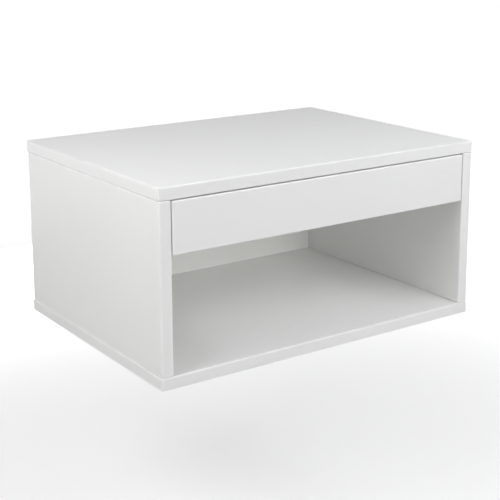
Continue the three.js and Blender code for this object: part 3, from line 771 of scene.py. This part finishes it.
def addDrawerFront():
    node = "drawer_front"
    piece = startBoard("drawerFrontBoard", node, boardShape)
    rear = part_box(node)[1].y
    sheetLow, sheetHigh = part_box("drawer_bottom")
    cutWith(piece, addCube(
        "groove",
        (sheetLow.x - groove["endGap"], rear + overrun, sheetLow.z - fitGap),
        (sheetHigh.x + groove["endGap"], rear - groove["depth"], sheetHigh.z + fitGap)))
    for side in sides:
        boreFor(piece, f"drawer_{side}_cam_bolt", alongY, rear, -1, boltHoles["thread"])
    finishBoard(piece, node, boardShape, lacquer)


def addDrawerSide(side, sign):
    node = f"drawer_{side}_side"
    piece = startBoard(f"drawer{side.capitalize()}Side", node, drawerBoardShape)
    low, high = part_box(node)
    inner, outer = (low.x, high.x) if sign > 0 else (high.x, low.x)
    sheetLow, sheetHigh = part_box("drawer_bottom")
    cutWith(piece, addCube(
        "groove",
        (inner - sign * overrun, low.y - overrun, sheetLow.z - fitGap),
        (inner + sign * groove["depth"], high.y + overrun, sheetHigh.z + fitGap)))
    boreFor(piece, f"drawer_{side}_cam_bolt", alongY, low.y, 1, boltHoles["shank"])
    boreFor(piece, f"drawer_{side}_cam_lock", alongX, inner, sign, drawerCamHole)
    screw = f"drawer_{side}_back_screw"
    boreAt(piece, screw, alongX, outer + sign * overrun, inner - sign * overrun, confirmatHoles["shank"])
    headEnd = sign * (max(abs(corner.x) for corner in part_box(screw)) - confirmatHoles["headDepth"])
    boreAt(piece, screw, alongX, outer + sign * overrun, headEnd, confirmatHoles["head"])
    for end in ("front", "rear"):
        boreFor(piece, f"{side}_drawer_runner_{end}_screw", alongZ, low.z, 1, screwHole)
    finishBoard(piece, node, drawerBoardShape, foil)


def addDrawerBack():
    node = "drawer_back"
    piece = startBoard("drawerBackBoard", node, drawerBoardShape)
    low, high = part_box(node)
    for side, sign in sides.items():
        end = high.x if sign > 0 else low.x
        boreFor(piece, f"drawer_{side}_back_screw", alongX, end, -sign, confirmatHoles["thread"])
    finishBoard(piece, node, drawerBoardShape, foil)


def addDrawerBottom():
    node = "drawer_bottom"
    finishBoard(startBoard("drawerBottomSheet", node, sheetShape), node, sheetShape, foil)


addTopBoard()
addBottomBoard()
addBackBoard()
addDrawerFront()
addDrawerBack()
addDrawerBottom()
for side, sign in sides.items():
    addSideBoard(side, sign)
    addDrawerSide(side, sign)
print("boards made")

# Turned pieces: a disc's rim is drawn up through a profile of (radius, height) pairs.
# Their sizes are in millimetres.

threadRings = 6  # rings of points in each turn of a thread
threadFlank = 2.2  # how steeply its groove opens
sharpAngle = 0.3  # radians between faces, from which their edge gets rubbed
weldReach = 0.001 * mm


def turnPiece(name, profile, pieceSides, ring=False):
    (radius, height), *rest = [(r * mm, h * mm) for r, h in profile]
    piece = addObject(
        bpy.ops.mesh.primitive_circle_add, name, vertices=pieceSides, radius=radius,
        fill_type="NOTHING" if ring else "NGON", location=(0, 0, height))
    bakePlace(piece)
    bpy.ops.object.mode_set(mode="EDIT")
    bpy.ops.mesh.select_all(action="SELECT")
    for nextRadius, nextHeight in rest:
        bpy.ops.mesh.extrude_region_move(
            TRANSFORM_OT_translate={"value": (0, 0, nextHeight - height)})
        share = nextRadius / radius
        bpy.ops.transform.resize(value=(share, share, 1), center_override=(0, 0, nextHeight))
        radius, height = nextRadius, nextHeight
    bpy.ops.mesh.select_all(action="SELECT")
    bpy.ops.mesh.remove_doubles(threshold=weldReach)
    bpy.ops.mesh.normals_make_consistent(inside=False)
    bpy.ops.object.mode_set(mode="OBJECT")
    return piece


def pushIn(point, depth):
    # moves a point towards the Z axis
    share = 1 - depth / point.co.xy.length
    point.co.x *= share
    point.co.y *= share


def cutThread(piece, start, end, pitch, depth):
    # rings are cut along the shank, and their points pushed in to a helical groove
    start, end, pitch, depth = start * mm, end * mm, pitch * mm, depth * mm
    activate(piece)
    bpy.ops.object.mode_set(mode="EDIT")

    def alongShank(a, b):
        inside = all(start - slack < point.z < end + slack for point in (a, b))
        return inside and abs(a.z - b.z) > pitch

    pickEdges(piece, alongShank)
    bpy.ops.mesh.subdivide(number_cuts=round((end - start) / pitch * threadRings) - 1)
    bpy.ops.object.mode_set(mode="OBJECT")
    for point in piece.data.vertices:
        if start + slack < point.co.z < end - slack:
            phase = (point.co.z / pitch - atan2(point.co.y, point.co.x) / (2 * pi)) % 1
            pushIn(point, depth * min(1.0, threadFlank * min(phase, 1 - phase)))


def cutCross(piece, length, width, depth, face=0):
    # a cross recess sunk upwards from a face
    length, width, depth, face = length * mm, width * mm, depth * mm, face * mm
    for half, across in ((length / 2, width / 2), (width / 2, length / 2)):
        cutWith(piece, addCube("slot", (-half, -across, face - overrun), (half, across, face + depth)))


def markSharp(piece):
    # edges where faces meet at an angle get the edge mark
    mark = piece.data.attributes.new("edgeWearAndHighlight", "FLOAT", "POINT")
    normals = {}
    for face in piece.data.polygons:
        for corner in face.vertices:
            normals.setdefault(corner, []).append(face.normal)
    for index, value in enumerate(mark.data):
        met = normals.get(index, [])
        bent = any(a.angle(b, 0) > sharpAngle for a in met for b in met)
        value.value = 1.0 if bent else 0.0


def dressHardware(piece, softening=0, softenFrom=50, smoothBelow=40):
    # softens the edges from an angle on, marks them for the finish and smooths the rounds
    if softening:
        softenEdges(piece, softening, softenFrom)
    markSharp(piece)
    smooth(piece, smoothBelow)


screwShapes = {
    "camBolt": {
        "profile": [
            (1.7, -11), (2.5, -10), (2.5, 0), (2.5, 0.45), (3.0, 0.45), (3.3, 0.75), (3.3, 2.15),
            (3.0, 2.45), (2.6, 2.45), (2.6, 18.55), (1.9, 18.95), (1.9, 22.25), (2.9, 22.25),
            (3.2, 22.6), (3.2, 24.9), (2.9, 25.5), (2.2, 25.75)],
        "sides": 28,
        "thread": (-10, 0),
        "pitch": 2.2,
        "threadDepth": 0.7,
    },
    "runnerScrew": {
        "profile": [
            (1.5, 0), (2.3, 0.12), (2.8, 0.4), (3.0, 0.8), (3.0, 1.2), (1.5, 1.2), (1.5, 11.2),
            (0.1, 14.2)],
        "sides": 24,
        "thread": (1.2, 11.2),
        "pitch": 1.3,
        "threadDepth": 0.4,
        "drive": (2.8, 0.6, 0.8),  # length, width and depth of the cross recess
    },
    "hangerScrew": {
        "profile": [(3.35, 0), (3.5, 0.15), (1.75, 1.7), (1.75, 9.5), (0.1, 12)],
        "sides": 24,
        "thread": (1.7, 9.5),
        "pitch": 1.4,
        "threadDepth": 0.45,
        "drive": (4.2, 0.9, 1.0),
    },
}


def makeScrew(kind):
    shape = screwShapes[kind]
    piece = turnPiece(f"{kind}Master", shape["profile"], shape["sides"])
    cutThread(piece, *shape["thread"], shape["pitch"], shape["threadDepth"])
    if "drive" in shape:
        cutCross(piece, *shape["drive"])
    dressHardware(piece)
    return piece


confirmatShape = {
    "sides": 28,
    "rimRadius": 4.6,
    "rimHeight": 0.3,
    "headRadius": 5,
    "landRadius": 4.9,
    "landHeight": 0.5,
    "headDepth": 3.5,
    "shankRadius": 3.5,
    "shankGap": 0.8,  # from the shank's end to the joint that the screw pulls together
    "threadGap": 0.3,
    "threadRadius": 2.5,
    "pitch": 2.8,
    "threadDepth": 0.75,
    "tipLength": 2.5,
    "tipRadius": 0.2,
    "socketRadius": 2.3,  # of the hexagon, to its corners
    "socketDepth": 2.5,
}
confirmatLengths = {
    "confirmat": {"length": 50, "grip": 16},
    "backScrew": {"length": 38, "grip": 12},
}


def makeConfirmat(kind):
    shape = confirmatShape
    length, grip = confirmatLengths[kind]["length"], confirmatLengths[kind]["grip"]
    head, shank, thread = (shape[f"{part}Radius"] for part in ("head", "shank", "thread"))
    shankEnd, threadStart = grip - shape["shankGap"], grip - shape["threadGap"]
    threadEnd = length - shape["tipLength"]
    piece = turnPiece(f"{kind}Master", [
        (shape["rimRadius"], 0), (head, shape["rimHeight"]), (shape["landRadius"], shape["landHeight"]),
        (shank, shape["headDepth"]), (shank, shankEnd), (thread, threadStart), (thread, threadEnd),
        (shape["tipRadius"], length)], shape["sides"])
    cutThread(piece, threadStart, threadEnd, shape["pitch"], shape["threadDepth"])
    socket, depth = shape["socketRadius"] * mm, shape["socketDepth"] * mm
    cutWith(piece, roundTool((0, 0, -overrun), (0, 0, depth), socket, socket, toolSides=6))
    dressHardware(piece)
    return piece


dowelShape = {
    "radius": 4,
    "length": 30,
    "chamfer": 1,
    "flutes": 20,
    "flutePoints": 4,  # round the dowel for each flute, and one of them is sunk
    "fluteDepth": 0.3,
    "smoothBelow": 25,
}


def makeDowel():
    radius, length, chamfer = (dowelShape[key] for key in ("radius", "length", "chamfer"))
    flutes, flutePoints = dowelShape["flutes"], dowelShape["flutePoints"]
    piece = turnPiece("dowelMaster", [
        (radius - chamfer, 0), (radius, chamfer), (radius, length - chamfer),
        (radius - chamfer, length)], flutePoints * flutes)
    for point in piece.data.vertices:
        turns = atan2(point.co.y, point.co.x) / (2 * pi) * flutes
        if round(turns * flutePoints) % flutePoints == 0:
            pushIn(point, dowelShape["fluteDepth"] * mm)
    smooth(piece, dowelShape["smoothBelow"])
    return piece


camSizes = {
    "cabinet": {"radius": 7.5, "board": 16},
    "drawer": {"radius": 6, "board": 12},
}
camShape = {
    "sides": 48,
    "floor": 2.5,  # board that is left under the cam
    "endGap": 0.25,
    "chamfer": 0.3,
    "rimWidth": 1.2,
    "dishInset": 1.6,
    "dishDepth": 0.35,
    "headRadius": 3.45,  # of the cut that takes the bolt's head
    "headReach": 2,  # how far that cut passes the middle
    "driveShare": 1.05,  # length of the cross recess to the cam's radius
    "driveWidth": 1.7,
    "driveDepth": 1.5,
    "arrowInset": 2.4,
    "arrowRadius": 0.9,
    "arrowDepth": 0.6,
    "softening": 0.12 * mm,
    "softenFrom": 40,
    "smoothBelow": 35,
}


def makeCam(kind):
    # the bolt enters along +X; the driver's face is the lower one
    shape = camShape
    radius, board = camSizes[kind]["radius"], camSizes[kind]["board"]
    chamfer, low = shape["chamfer"], shape["endGap"]
    high = board - shape["floor"] - shape["endGap"]
    piece = turnPiece(f"{kind}CamMaster", [
        (radius - shape["dishInset"], low + shape["dishDepth"]), (radius - shape["rimWidth"], low),
        (radius - chamfer, low), (radius, low + chamfer), (radius, high - chamfer),
        (radius - chamfer, high)], shape["sides"])
    middle, head = board / 2 * mm, shape["headRadius"] * mm
    cutWith(piece, roundTool(
        (-shape["headReach"] * mm, 0, middle), (radius * mm + overrun, 0, middle), head, head))
    cutCross(piece, radius * shape["driveShare"], shape["driveWidth"], shape["driveDepth"], low)
    arrowX, arrow = (radius - shape["arrowInset"]) * mm, shape["arrowRadius"] * mm
    cutWith(piece, roundTool(
        (arrowX, 0, low * mm - overrun), (arrowX, 0, (low + shape["arrowDepth"]) * mm),
        arrow, arrow, toolSides=3))
    dressHardware(piece, shape["softening"], shape["softenFrom"], shape["smoothBelow"])
    return piece


def addFasteners():
    up, down, ahead, rearward = (0, 0, 1), (0, 0, -1), (0, -1, 0), (0, 1, 0)
    bolt, runnerScrew, hangerScrew = (makeScrew(kind) for kind in screwShapes)
    confirmat, backScrew = (makeConfirmat(kind) for kind in confirmatLengths)
    cabinetCam, drawerCam = (makeCam(kind) for kind in camSizes)
    dowel = makeDowel()
    for side, sign in sides.items():
        outward, inward = (sign, 0, 0), (-sign, 0, 0)
        for end in ("front", "rear"):
            name = side + end.capitalize()
            copyTo(bolt, f"{name}CamBolt", f"{side}_{end}_cam_bolt", steel, down, outward)
            copyTo(cabinetCam, f"{name}Cam", f"{side}_{end}_cam_lock", zinc, outward, up)
            copyTo(
                runnerScrew, f"{name}CabinetRunnerScrew", f"{side}_cabinet_runner_{end}_screw",
                steel, outward, up)
            copyTo(
                runnerScrew, f"{name}DrawerRunnerScrew", f"{side}_drawer_runner_{end}_screw",
                steel, up, outward)
        for end in ("front", "rear", "back"):
            name = f"{side}{end.capitalize()}Confirmat"
            copyTo(confirmat, name, f"{side}_{end}_confirmat", steel, up, outward)
        for end in ("side", "back"):
            copyTo(dowel, f"{side}{end.capitalize()}Dowel", f"{side}_{end}_dowel", beech, down, outward)
        for end in ("upper", "lower"):
            name = f"{side}{end.capitalize()}HangerScrew"
            copyTo(hangerScrew, name, f"{side}_hanger_{end}_screw", steel, ahead, up)
        drawerName = f"drawer{side.capitalize()}"
        copyTo(bolt, f"{drawerName}CamBolt", f"drawer_{side}_cam_bolt", steel, rearward, outward)
        copyTo(drawerCam, f"{drawerName}Cam", f"drawer_{side}_cam_lock", zinc, outward, ahead)
        copyTo(backScrew, f"{drawerName}BackScrew", f"drawer_{side}_back_screw", steel, inward, up)
    for master in (bolt, dowel, cabinetCam, drawerCam, confirmat, backScrew, runnerScrew, hangerScrew):
        bpy.data.objects.remove(master)


addFasteners()
print("fasteners made")

# Keyhole hangers

hangerShape = {
    "cornerRadius": 3 * mm,
    "cornerSegments": 8,
    "entryRadius": 5.5 * mm,
    "entrySides": 48,
    "slotRadius": 2.75 * mm,
    "sinkWide": 3.75 * mm,
    "sinkNarrow": 2 * mm,
    "sinkDepth": 1.8 * mm,
    "softening": 0.3 * mm,
}


def sinkTool(place, front, rear):
    # a screw's hole along Y, flared to a countersink at its rear
    wide, narrow, depth = (hangerShape[key] for key in ("sinkWide", "sinkNarrow", "sinkDepth"))
    tool = roundTool((place.x, front, place.z), (place.x, rear - depth, place.z), narrow, narrow)
    activate(tool)
    bpy.ops.object.mode_set(mode="EDIT")
    pickFaces(tool, lambda centre, normal: normal.y > facing)
    bpy.ops.mesh.extrude_region_move(TRANSFORM_OT_translate={"value": (0, depth + overrun, 0)})
    share = 1 + (wide / narrow - 1) * (depth + overrun) / depth
    bpy.ops.transform.resize(value=(share, 1, share), center_override=(place.x, rear, place.z))
    bpy.ops.object.mode_set(mode="OBJECT")
    return tool


def addHanger(side):
    node = f"{side}_hanger_plate"
    low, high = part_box(node)
    piece = addCube(f"{side}HangerPlate", low, high)
    bpy.ops.object.mode_set(mode="EDIT")
    pickEdges(piece, lambda a, b: abs(a.y - b.y) > (high.y - low.y) / 2)
    bpy.ops.mesh.bevel(
        offset=hangerShape["cornerRadius"], segments=hangerShape["cornerSegments"], affect="EDGES")
    bpy.ops.object.mode_set(mode="OBJECT")
    middle = (low + high) / 2
    front, rear = low.y - overrun, high.y + overrun
    entry = middle.z - keyholeDrop / 2
    upper = middle + Vector((0, 0, keyholeDrop / 2))
    radius = hangerShape["entryRadius"]
    cutWith(piece, slotTool(upper, keyholeDrop, hangerShape["slotRadius"], front, rear))
    cutWith(piece, roundTool(
        (middle.x, front, entry), (middle.x, rear, entry), radius, radius, hangerShape["entrySides"]))
    for end in ("upper", "lower"):
        cutWith(piece, sinkTool(centreOf(f"{side}_hanger_{end}_screw"), front, high.y))
    dressHardware(piece, hangerShape["softening"])
    standFor(piece, node, steel)


# Roller runners, folded from sheet steel

runnerShape = {
    "steel": 1.2 * mm,
    "flatAngle": 1,  # degrees between faces, below which they are merged
    "bendRadius": 1.0 * mm,
    "bendSegments": 4,
    "bendLength": 10 * mm,  # shorter edges aren't bends
    "softening": 0.2 * mm,
    "notchGap": 4 * mm,  # open upper flange behind the front roller
    "stopDrop": 4 * mm,
    "stopGap": 0.5 * mm,
    "seatGap": 0.3 * mm,
    "axleHole": 4.5 * mm,
}


def slicePiece(piece, axis, places):
    # cuts new edges across the piece, in edit mode
    direction = [0, 0, 0]
    direction[axis] = 1
    for place in places:
        point = [0, 0, 0]
        point[axis] = place
        bpy.ops.mesh.select_all(action="SELECT")
        bpy.ops.mesh.bisect(plane_co=point, plane_no=direction)


def drawOut(piece, test, offset):
    # extrudes the faces that pass the test by an offset along X, in edit mode
    pickFaces(piece, test)
    bpy.ops.mesh.extrude_region_move(TRANSFORM_OT_translate={"value": (offset, 0, 0)})


def roundBends(piece, bends):
    # merges flat neighbours and rounds the bends, each at an X and a Z, and leaves edit mode
    bpy.ops.mesh.select_all(action="SELECT")
    bpy.ops.mesh.dissolve_limited(angle_limit=radians(runnerShape["flatAngle"]))

    def onBend(a, b):
        return abs(a.y - b.y) > runnerShape["bendLength"] and any(
            all(abs(end.x - x) < slack and abs(end.z - z) < slack for end in (a, b)) for x, z in bends)

    pickEdges(piece, onBend)
    bpy.ops.mesh.bevel(
        offset=runnerShape["bendRadius"], segments=runnerShape["bendSegments"], affect="EDGES")
    bpy.ops.object.mode_set(mode="OBJECT")


def rollerRadius(node):
    low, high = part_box(node)
    return (high.z - low.z) / 2


def addCabinetRunner(side, sign):
    node = f"{side}_cabinet_runner"
    low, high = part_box(node)
    thick = runnerShape["steel"]
    webX, freeX = (high.x, low.x) if sign > 0 else (low.x, high.x)
    piece = addCube(f"{side}CabinetRunner", (webX - sign * thick, low.y, low.z), (webX, high.y, high.z))
    frontRoller, rearRoller = f"{side}_front_roller", f"{side}_rear_roller"
    front, rear = centreOf(frontRoller), centreOf(rearRoller)
    notchEnd = front.y + rollerRadius(frontRoller) + runnerShape["notchGap"]
    travel = next(joint for joint in frame["joints"] if joint["name"] == "drawer_slide")["range_m"][1]
    stopLow = high.z - thick - runnerShape["stopDrop"]
    chord = sqrt(rollerRadius(rearRoller) ** 2 - (stopLow - rear.z) ** 2)
    stopRear = rear.y - travel - chord - runnerShape["stopGap"]
    stopFront = stopRear - thick

    def isFlange(centre, normal):
        if normal.x * sign > -facing:
            return False
        lower = centre.z < low.z + thick
        upper = centre.z > high.z - thick and centre.y > notchEnd
        closedStop = centre.y > high.y - thick
        openStop = stopFront < centre.y < stopRear and centre.z > stopLow
        return lower or upper or closedStop or openStop

    bpy.ops.object.mode_set(mode="EDIT")
    slicePiece(piece, alongZ, (low.z + thick, stopLow, high.z - thick))
    slicePiece(piece, alongY, (notchEnd, stopFront, stopRear, high.y - thick))
    drawOut(piece, isFlange, freeX - (webX - sign * thick))
    roundBends(piece, [(webX, low.z), (webX, high.z)])
    farSide = webX + sign * overrun
    for end in ("front", "rear"):
        screw = f"{side}_cabinet_runner_{end}_screw"
        boreAt(piece, screw, alongX, farSide, webX - sign * 2 * thick, screwHole)
    boreAt(piece, frontRoller, alongX, farSide, webX - sign * 2 * thick, runnerShape["axleHole"])
    dressHardware(piece, runnerShape["softening"])
    standFor(piece, node, enamel)


def addDrawerRunner(side, sign):
    node = f"{side}_drawer_runner"
    low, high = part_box(node)
    thick = runnerShape["steel"]
    sideLow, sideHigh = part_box(f"drawer_{side}_side")
    webInner = (sideHigh.x if sign > 0 else sideLow.x) + sign * runnerShape["seatGap"]
    webOuter = webInner + sign * thick
    innerEnd, outerEnd = (low.x, high.x) if sign > 0 else (high.x, low.x)
    piece = addCube(f"{side}DrawerRunner", (webInner, low.y, low.z), (webOuter, high.y, high.z))

    def isUnderFlange(centre, normal):
        return normal.x * sign < -facing and centre.z < low.z + thick

    def isTopFlange(centre, normal):
        return normal.x * sign > facing and centre.z > high.z - thick

    bpy.ops.object.mode_set(mode="EDIT")
    slicePiece(piece, alongZ, (low.z + thick, high.z - thick))
    drawOut(piece, isUnderFlange, innerEnd - webInner)
    drawOut(piece, isTopFlange, outerEnd - webOuter)
    roundBends(piece, [(webOuter, low.z), (webInner, high.z)])
    boreAt(
        piece, f"{side}_rear_roller", alongX, webInner - sign * overrun, webOuter + sign * overrun,
        runnerShape["axleHole"])
    for end in ("front", "rear"):
        screw = f"{side}_drawer_runner_{end}_screw"
        boreAt(piece, screw, alongZ, low.z - overrun, low.z + 2 * thick, screwHole)
    dressHardware(piece, runnerShape["softening"])
    standFor(piece, node, enamel)


# Rollers and their axles

rollerShape = {
    "bore": 2.25,
    "hub": 4.2,
    "rim": 2.2,  # width of the running rim, seen from the side
    "dish": 0.7,  # depth of the face between hub and rim
    "slope": 0.3,
    "edge": 0.6,
    "edgeStep": 0.18,
    "sides": 64,
    "softening": 0.12 * mm,
    "roundBelow": 35,  # degrees between faces: less is shaded round, and more is softened
}
axleShape = {
    "profile": [
        (1.8, 0), (2.0, 0.2), (2.0, 1.4), (2.8, 1.4), (3.0, 1.6), (3.0, 2.8), (2.8, 3.0), (2.0, 3.0),
        (2.0, 8.9), (2.8, 8.9), (3.0, 9.1), (2.9, 9.35), (2.4, 9.65), (1.4, 9.8)],
    "sides": 32,
}


def makeRoller(radius, width):
    bore, hub, dish, slope = (rollerShape[key] for key in ("bore", "hub", "dish", "slope"))
    edge, step = rollerShape["edge"], rollerShape["edgeStep"]
    rim = radius - rollerShape["rim"]
    lower = [
        (bore, 0), (hub, 0), (hub + slope, dish), (rim - slope, dish), (rim, 0), (radius - edge, 0),
        (radius - step, step), (radius, edge)]
    upper = [(r, width - height) for r, height in reversed(lower)]
    piece = turnPiece("rollerMaster", lower + upper + [(bore, 0)], rollerShape["sides"], ring=True)
    softenEdges(piece, rollerShape["softening"], rollerShape["roundBelow"])
    smooth(piece, rollerShape["roundBelow"])
    return piece


def makeAxle():
    piece = turnPiece("axleMaster", axleShape["profile"], axleShape["sides"])
    dressHardware(piece)
    return piece


def addRollers():
    axle = makeAxle()
    for end in ("front", "rear"):
        for side, sign in sides.items():
            outward, inward = (sign, 0, 0), (-sign, 0, 0)
            node = f"{side}_{end}_roller"
            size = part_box(node)[1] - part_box(node)[0]
            roller = makeRoller(size.z / 2 / mm, size.x / mm)
            name = side + end.capitalize()
            axis = inward if end == "front" else outward
            copyTo(roller, f"{name}Roller", node, nylon, axis, (0, 0, 1))
            copyTo(axle, f"{name}RollerAxle", f"{node}_axle", steel, axis, (0, 0, 1))
            bpy.data.objects.remove(roller)
    bpy.data.objects.remove(axle)


for side, sign in sides.items():
    addHanger(side)
    addCabinetRunner(side, sign)
    addDrawerRunner(side, sign)
addRollers()
print("hangers and runners made")

# Studio

studio = {
    "floorDrop": 0.35,  # from the underside down to the floor
    "floorSize": 40.0,
    "floorColour": (0.80, 0.80, 0.80),
    "nearGlow": 0.4,  # the floor's own light, seen directly only, so that the background is white
    "farGlow": 0.95,
    "reflectedShare": 0.7,  # how much of that glow metal mirrors
    "nearDistance": 0.5,
    "farDistance": 2.2,
    "ambient": 0.1,
    "bounces": 8,  # light goes on bouncing in the white compartment
}
# each lamp stands around, above and away from the nightstand; its level is the brightness that it
# gives to a white surface facing it, and some lamps light only the objects named as lit
cool = (0.945, 0.957, 1.0)
plain = (0.995, 0.993, 1.0)
warm = (1.0, 0.992, 0.98)
compartmentBoards = ("bottomBoard", "backBoard", "leftSideBoard", "rightSideBoard")
whiteSurfaces = compartmentBoards + ("topBoard", "drawerFrontBoard", "paleFloor")
lamps = {
    "nearSoftbox": {
        "around": 35, "above": 45, "away": 1.0, "size": (0.5, 0.5), "level": 0.27, "colour": cool},
    "highSoftbox": {
        "around": 5, "above": 40, "away": 2.0, "size": (1.2, 0.6), "level": 0.148, "colour": cool},
    "frontStrip": {
        "around": 5, "above": 12, "away": 2.5, "size": (1.2, 0.4), "level": 0.212, "colour": warm},
    "leftSoftbox": {
        "around": -70, "above": 30, "away": 1.2, "size": (0.6, 0.6), "level": 0.33, "colour": plain},
    "leftStrip": {
        "around": -80, "above": 40, "away": 1.2, "size": (0.3, 0.5), "level": 0.209, "colour": plain},
    "leftFill": {
        "around": -88, "above": 8, "away": 1.5, "size": (0.9, 0.9), "level": 0.03, "colour": plain},
    "rightFill": {
        "around": 97, "above": -7, "away": 1.7, "size": (2.2, 0.46), "level": 0.4, "colour": plain,
        "lit": whiteSurfaces},
    "backFill": {
        "around": 180, "above": -7, "away": 1.7, "size": (1.2, 0.4), "level": 0.44, "colour": plain,
        "lit": whiteSurfaces},
    "lowGrid": {
        "around": -12, "above": 18, "away": 1.3, "size": (0.3, 0.02), "level": 0.00078, "colour": plain,
        "spread": 6, "lit": compartmentBoards},
    "highGrid": {
        "around": 0, "above": 27, "away": 1.3, "size": (0.3, 0.02), "level": 0.00158, "colour": cool,
        "spread": 6, "lit": compartmentBoards},
}


def seenDirectly(tree, reflected=1.0):
    # 1 where the camera or a view through glass sees the surface, and a share of it in a reflection
    paths = addNode(tree, "ShaderNodeLightPath").outputs
    mirrored = addMath(tree, "MULTIPLY", paths["Is Glossy Ray"], reflected)
    seen = addMath(tree, "MAXIMUM", paths["Is Camera Ray"], mirrored)
    return addMath(tree, "MAXIMUM", seen, paths["Is Transmission Ray"])


def addWorld():
    world = bpy.data.worlds.new("paleStudio")
    tree = emptyTree(world)
    white = (1.0, 1.0, 1.0, 1.0)
    ambient = addNode(tree, "ShaderNodeBackground", {}, {"Color": white, "Strength": studio["ambient"]})
    backdrop = addNode(tree, "ShaderNodeBackground", {}, {"Color": white, "Strength": 1.0})
    choice = addNode(tree, "ShaderNodeMixShader", {}, {
        0: seenDirectly(tree), 1: ambient.outputs[0], 2: backdrop.outputs[0]})
    addNode(tree, "ShaderNodeOutputWorld", {}, {"Surface": choice.outputs[0]})
    bpy.context.scene.world = world


def addFloor():
    floor = addObject(
        bpy.ops.mesh.primitive_plane_add, "paleFloor", size=studio["floorSize"],
        location=(0, 0, cadLow.z - studio["floorDrop"]))
    bakePlace(floor)
    material = bpy.data.materials.new("paleFloor")
    tree = emptyTree(material)
    place = addNode(tree, "ShaderNodeTexCoord").outputs["Object"]
    distance = addNode(tree, "ShaderNodeVectorMath", {"operation": "LENGTH"}, {0: place})
    fade = addRange(
        tree, distance.outputs["Value"], (studio["nearDistance"], studio["farDistance"]),
        studio["nearGlow"], studio["farGlow"], "SMOOTHSTEP")
    strength = addMath(tree, "MULTIPLY", seenDirectly(tree, studio["reflectedShare"]), fade)
    paint = addNode(tree, "ShaderNodeBsdfDiffuse", {}, {"Color": (*studio["floorColour"], 1.0)})
    glow = addNode(tree, "ShaderNodeEmission", {}, {"Strength": strength})
    both = addNode(tree, "ShaderNodeAddShader", {}, {0: paint.outputs[0], 1: glow.outputs[0]})
    addNode(tree, "ShaderNodeOutputMaterial", {}, {"Surface": both.outputs[0]})
    floor.data.materials.append(material)


def addLamps():
    middle = (cadLow + cadHigh) / 2
    floorZ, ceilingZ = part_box("bottom_panel")[1].z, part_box("drawer_front")[0].z
    mouth = Vector((middle.x, cadLow.y, (floorZ + ceilingZ) / 2))
    for name, lamp in lamps.items():
        aim = mouth if "spread" in lamp else middle  # the grids shine into the compartment
        around, above, away = radians(lamp["around"]), radians(lamp["above"]), lamp["away"]
        place = Vector((sin(around) * cos(above), -cos(around) * cos(above), sin(above))) * away
        light = addObject(bpy.ops.object.light_add, name, type="AREA", location=aim + place)
        light.data.shape = "RECTANGLE"
        light.data.size, light.data.size_y = lamp["size"]
        light.data.energy = lamp["level"] * pi ** 2 * away ** 2
        light.data.color = lamp["colour"]
        if "spread" in lamp:
            light.data.spread = radians(lamp["spread"])
        if "lit" in lamp:
            receivers = bpy.data.collections.new(f"{name}Receivers")
            for receiver in lamp["lit"]:
                receivers.objects.link(bpy.data.objects[receiver])
            light.light_linking.receiver_collection = receivers
        light.visible_camera = False
        light.rotation_euler = (-place).to_track_quat("-Z", "Y").to_euler()


addWorld()
addFloor()
addLamps()
bpy.context.scene.view_settings.view_transform = "Standard"
bpy.context.scene.cycles.diffuse_bounces = studio["bounces"]
bpy.context.scene.cycles.use_light_tree = False  # the narrow grids come out clean without it
print("studio lit")
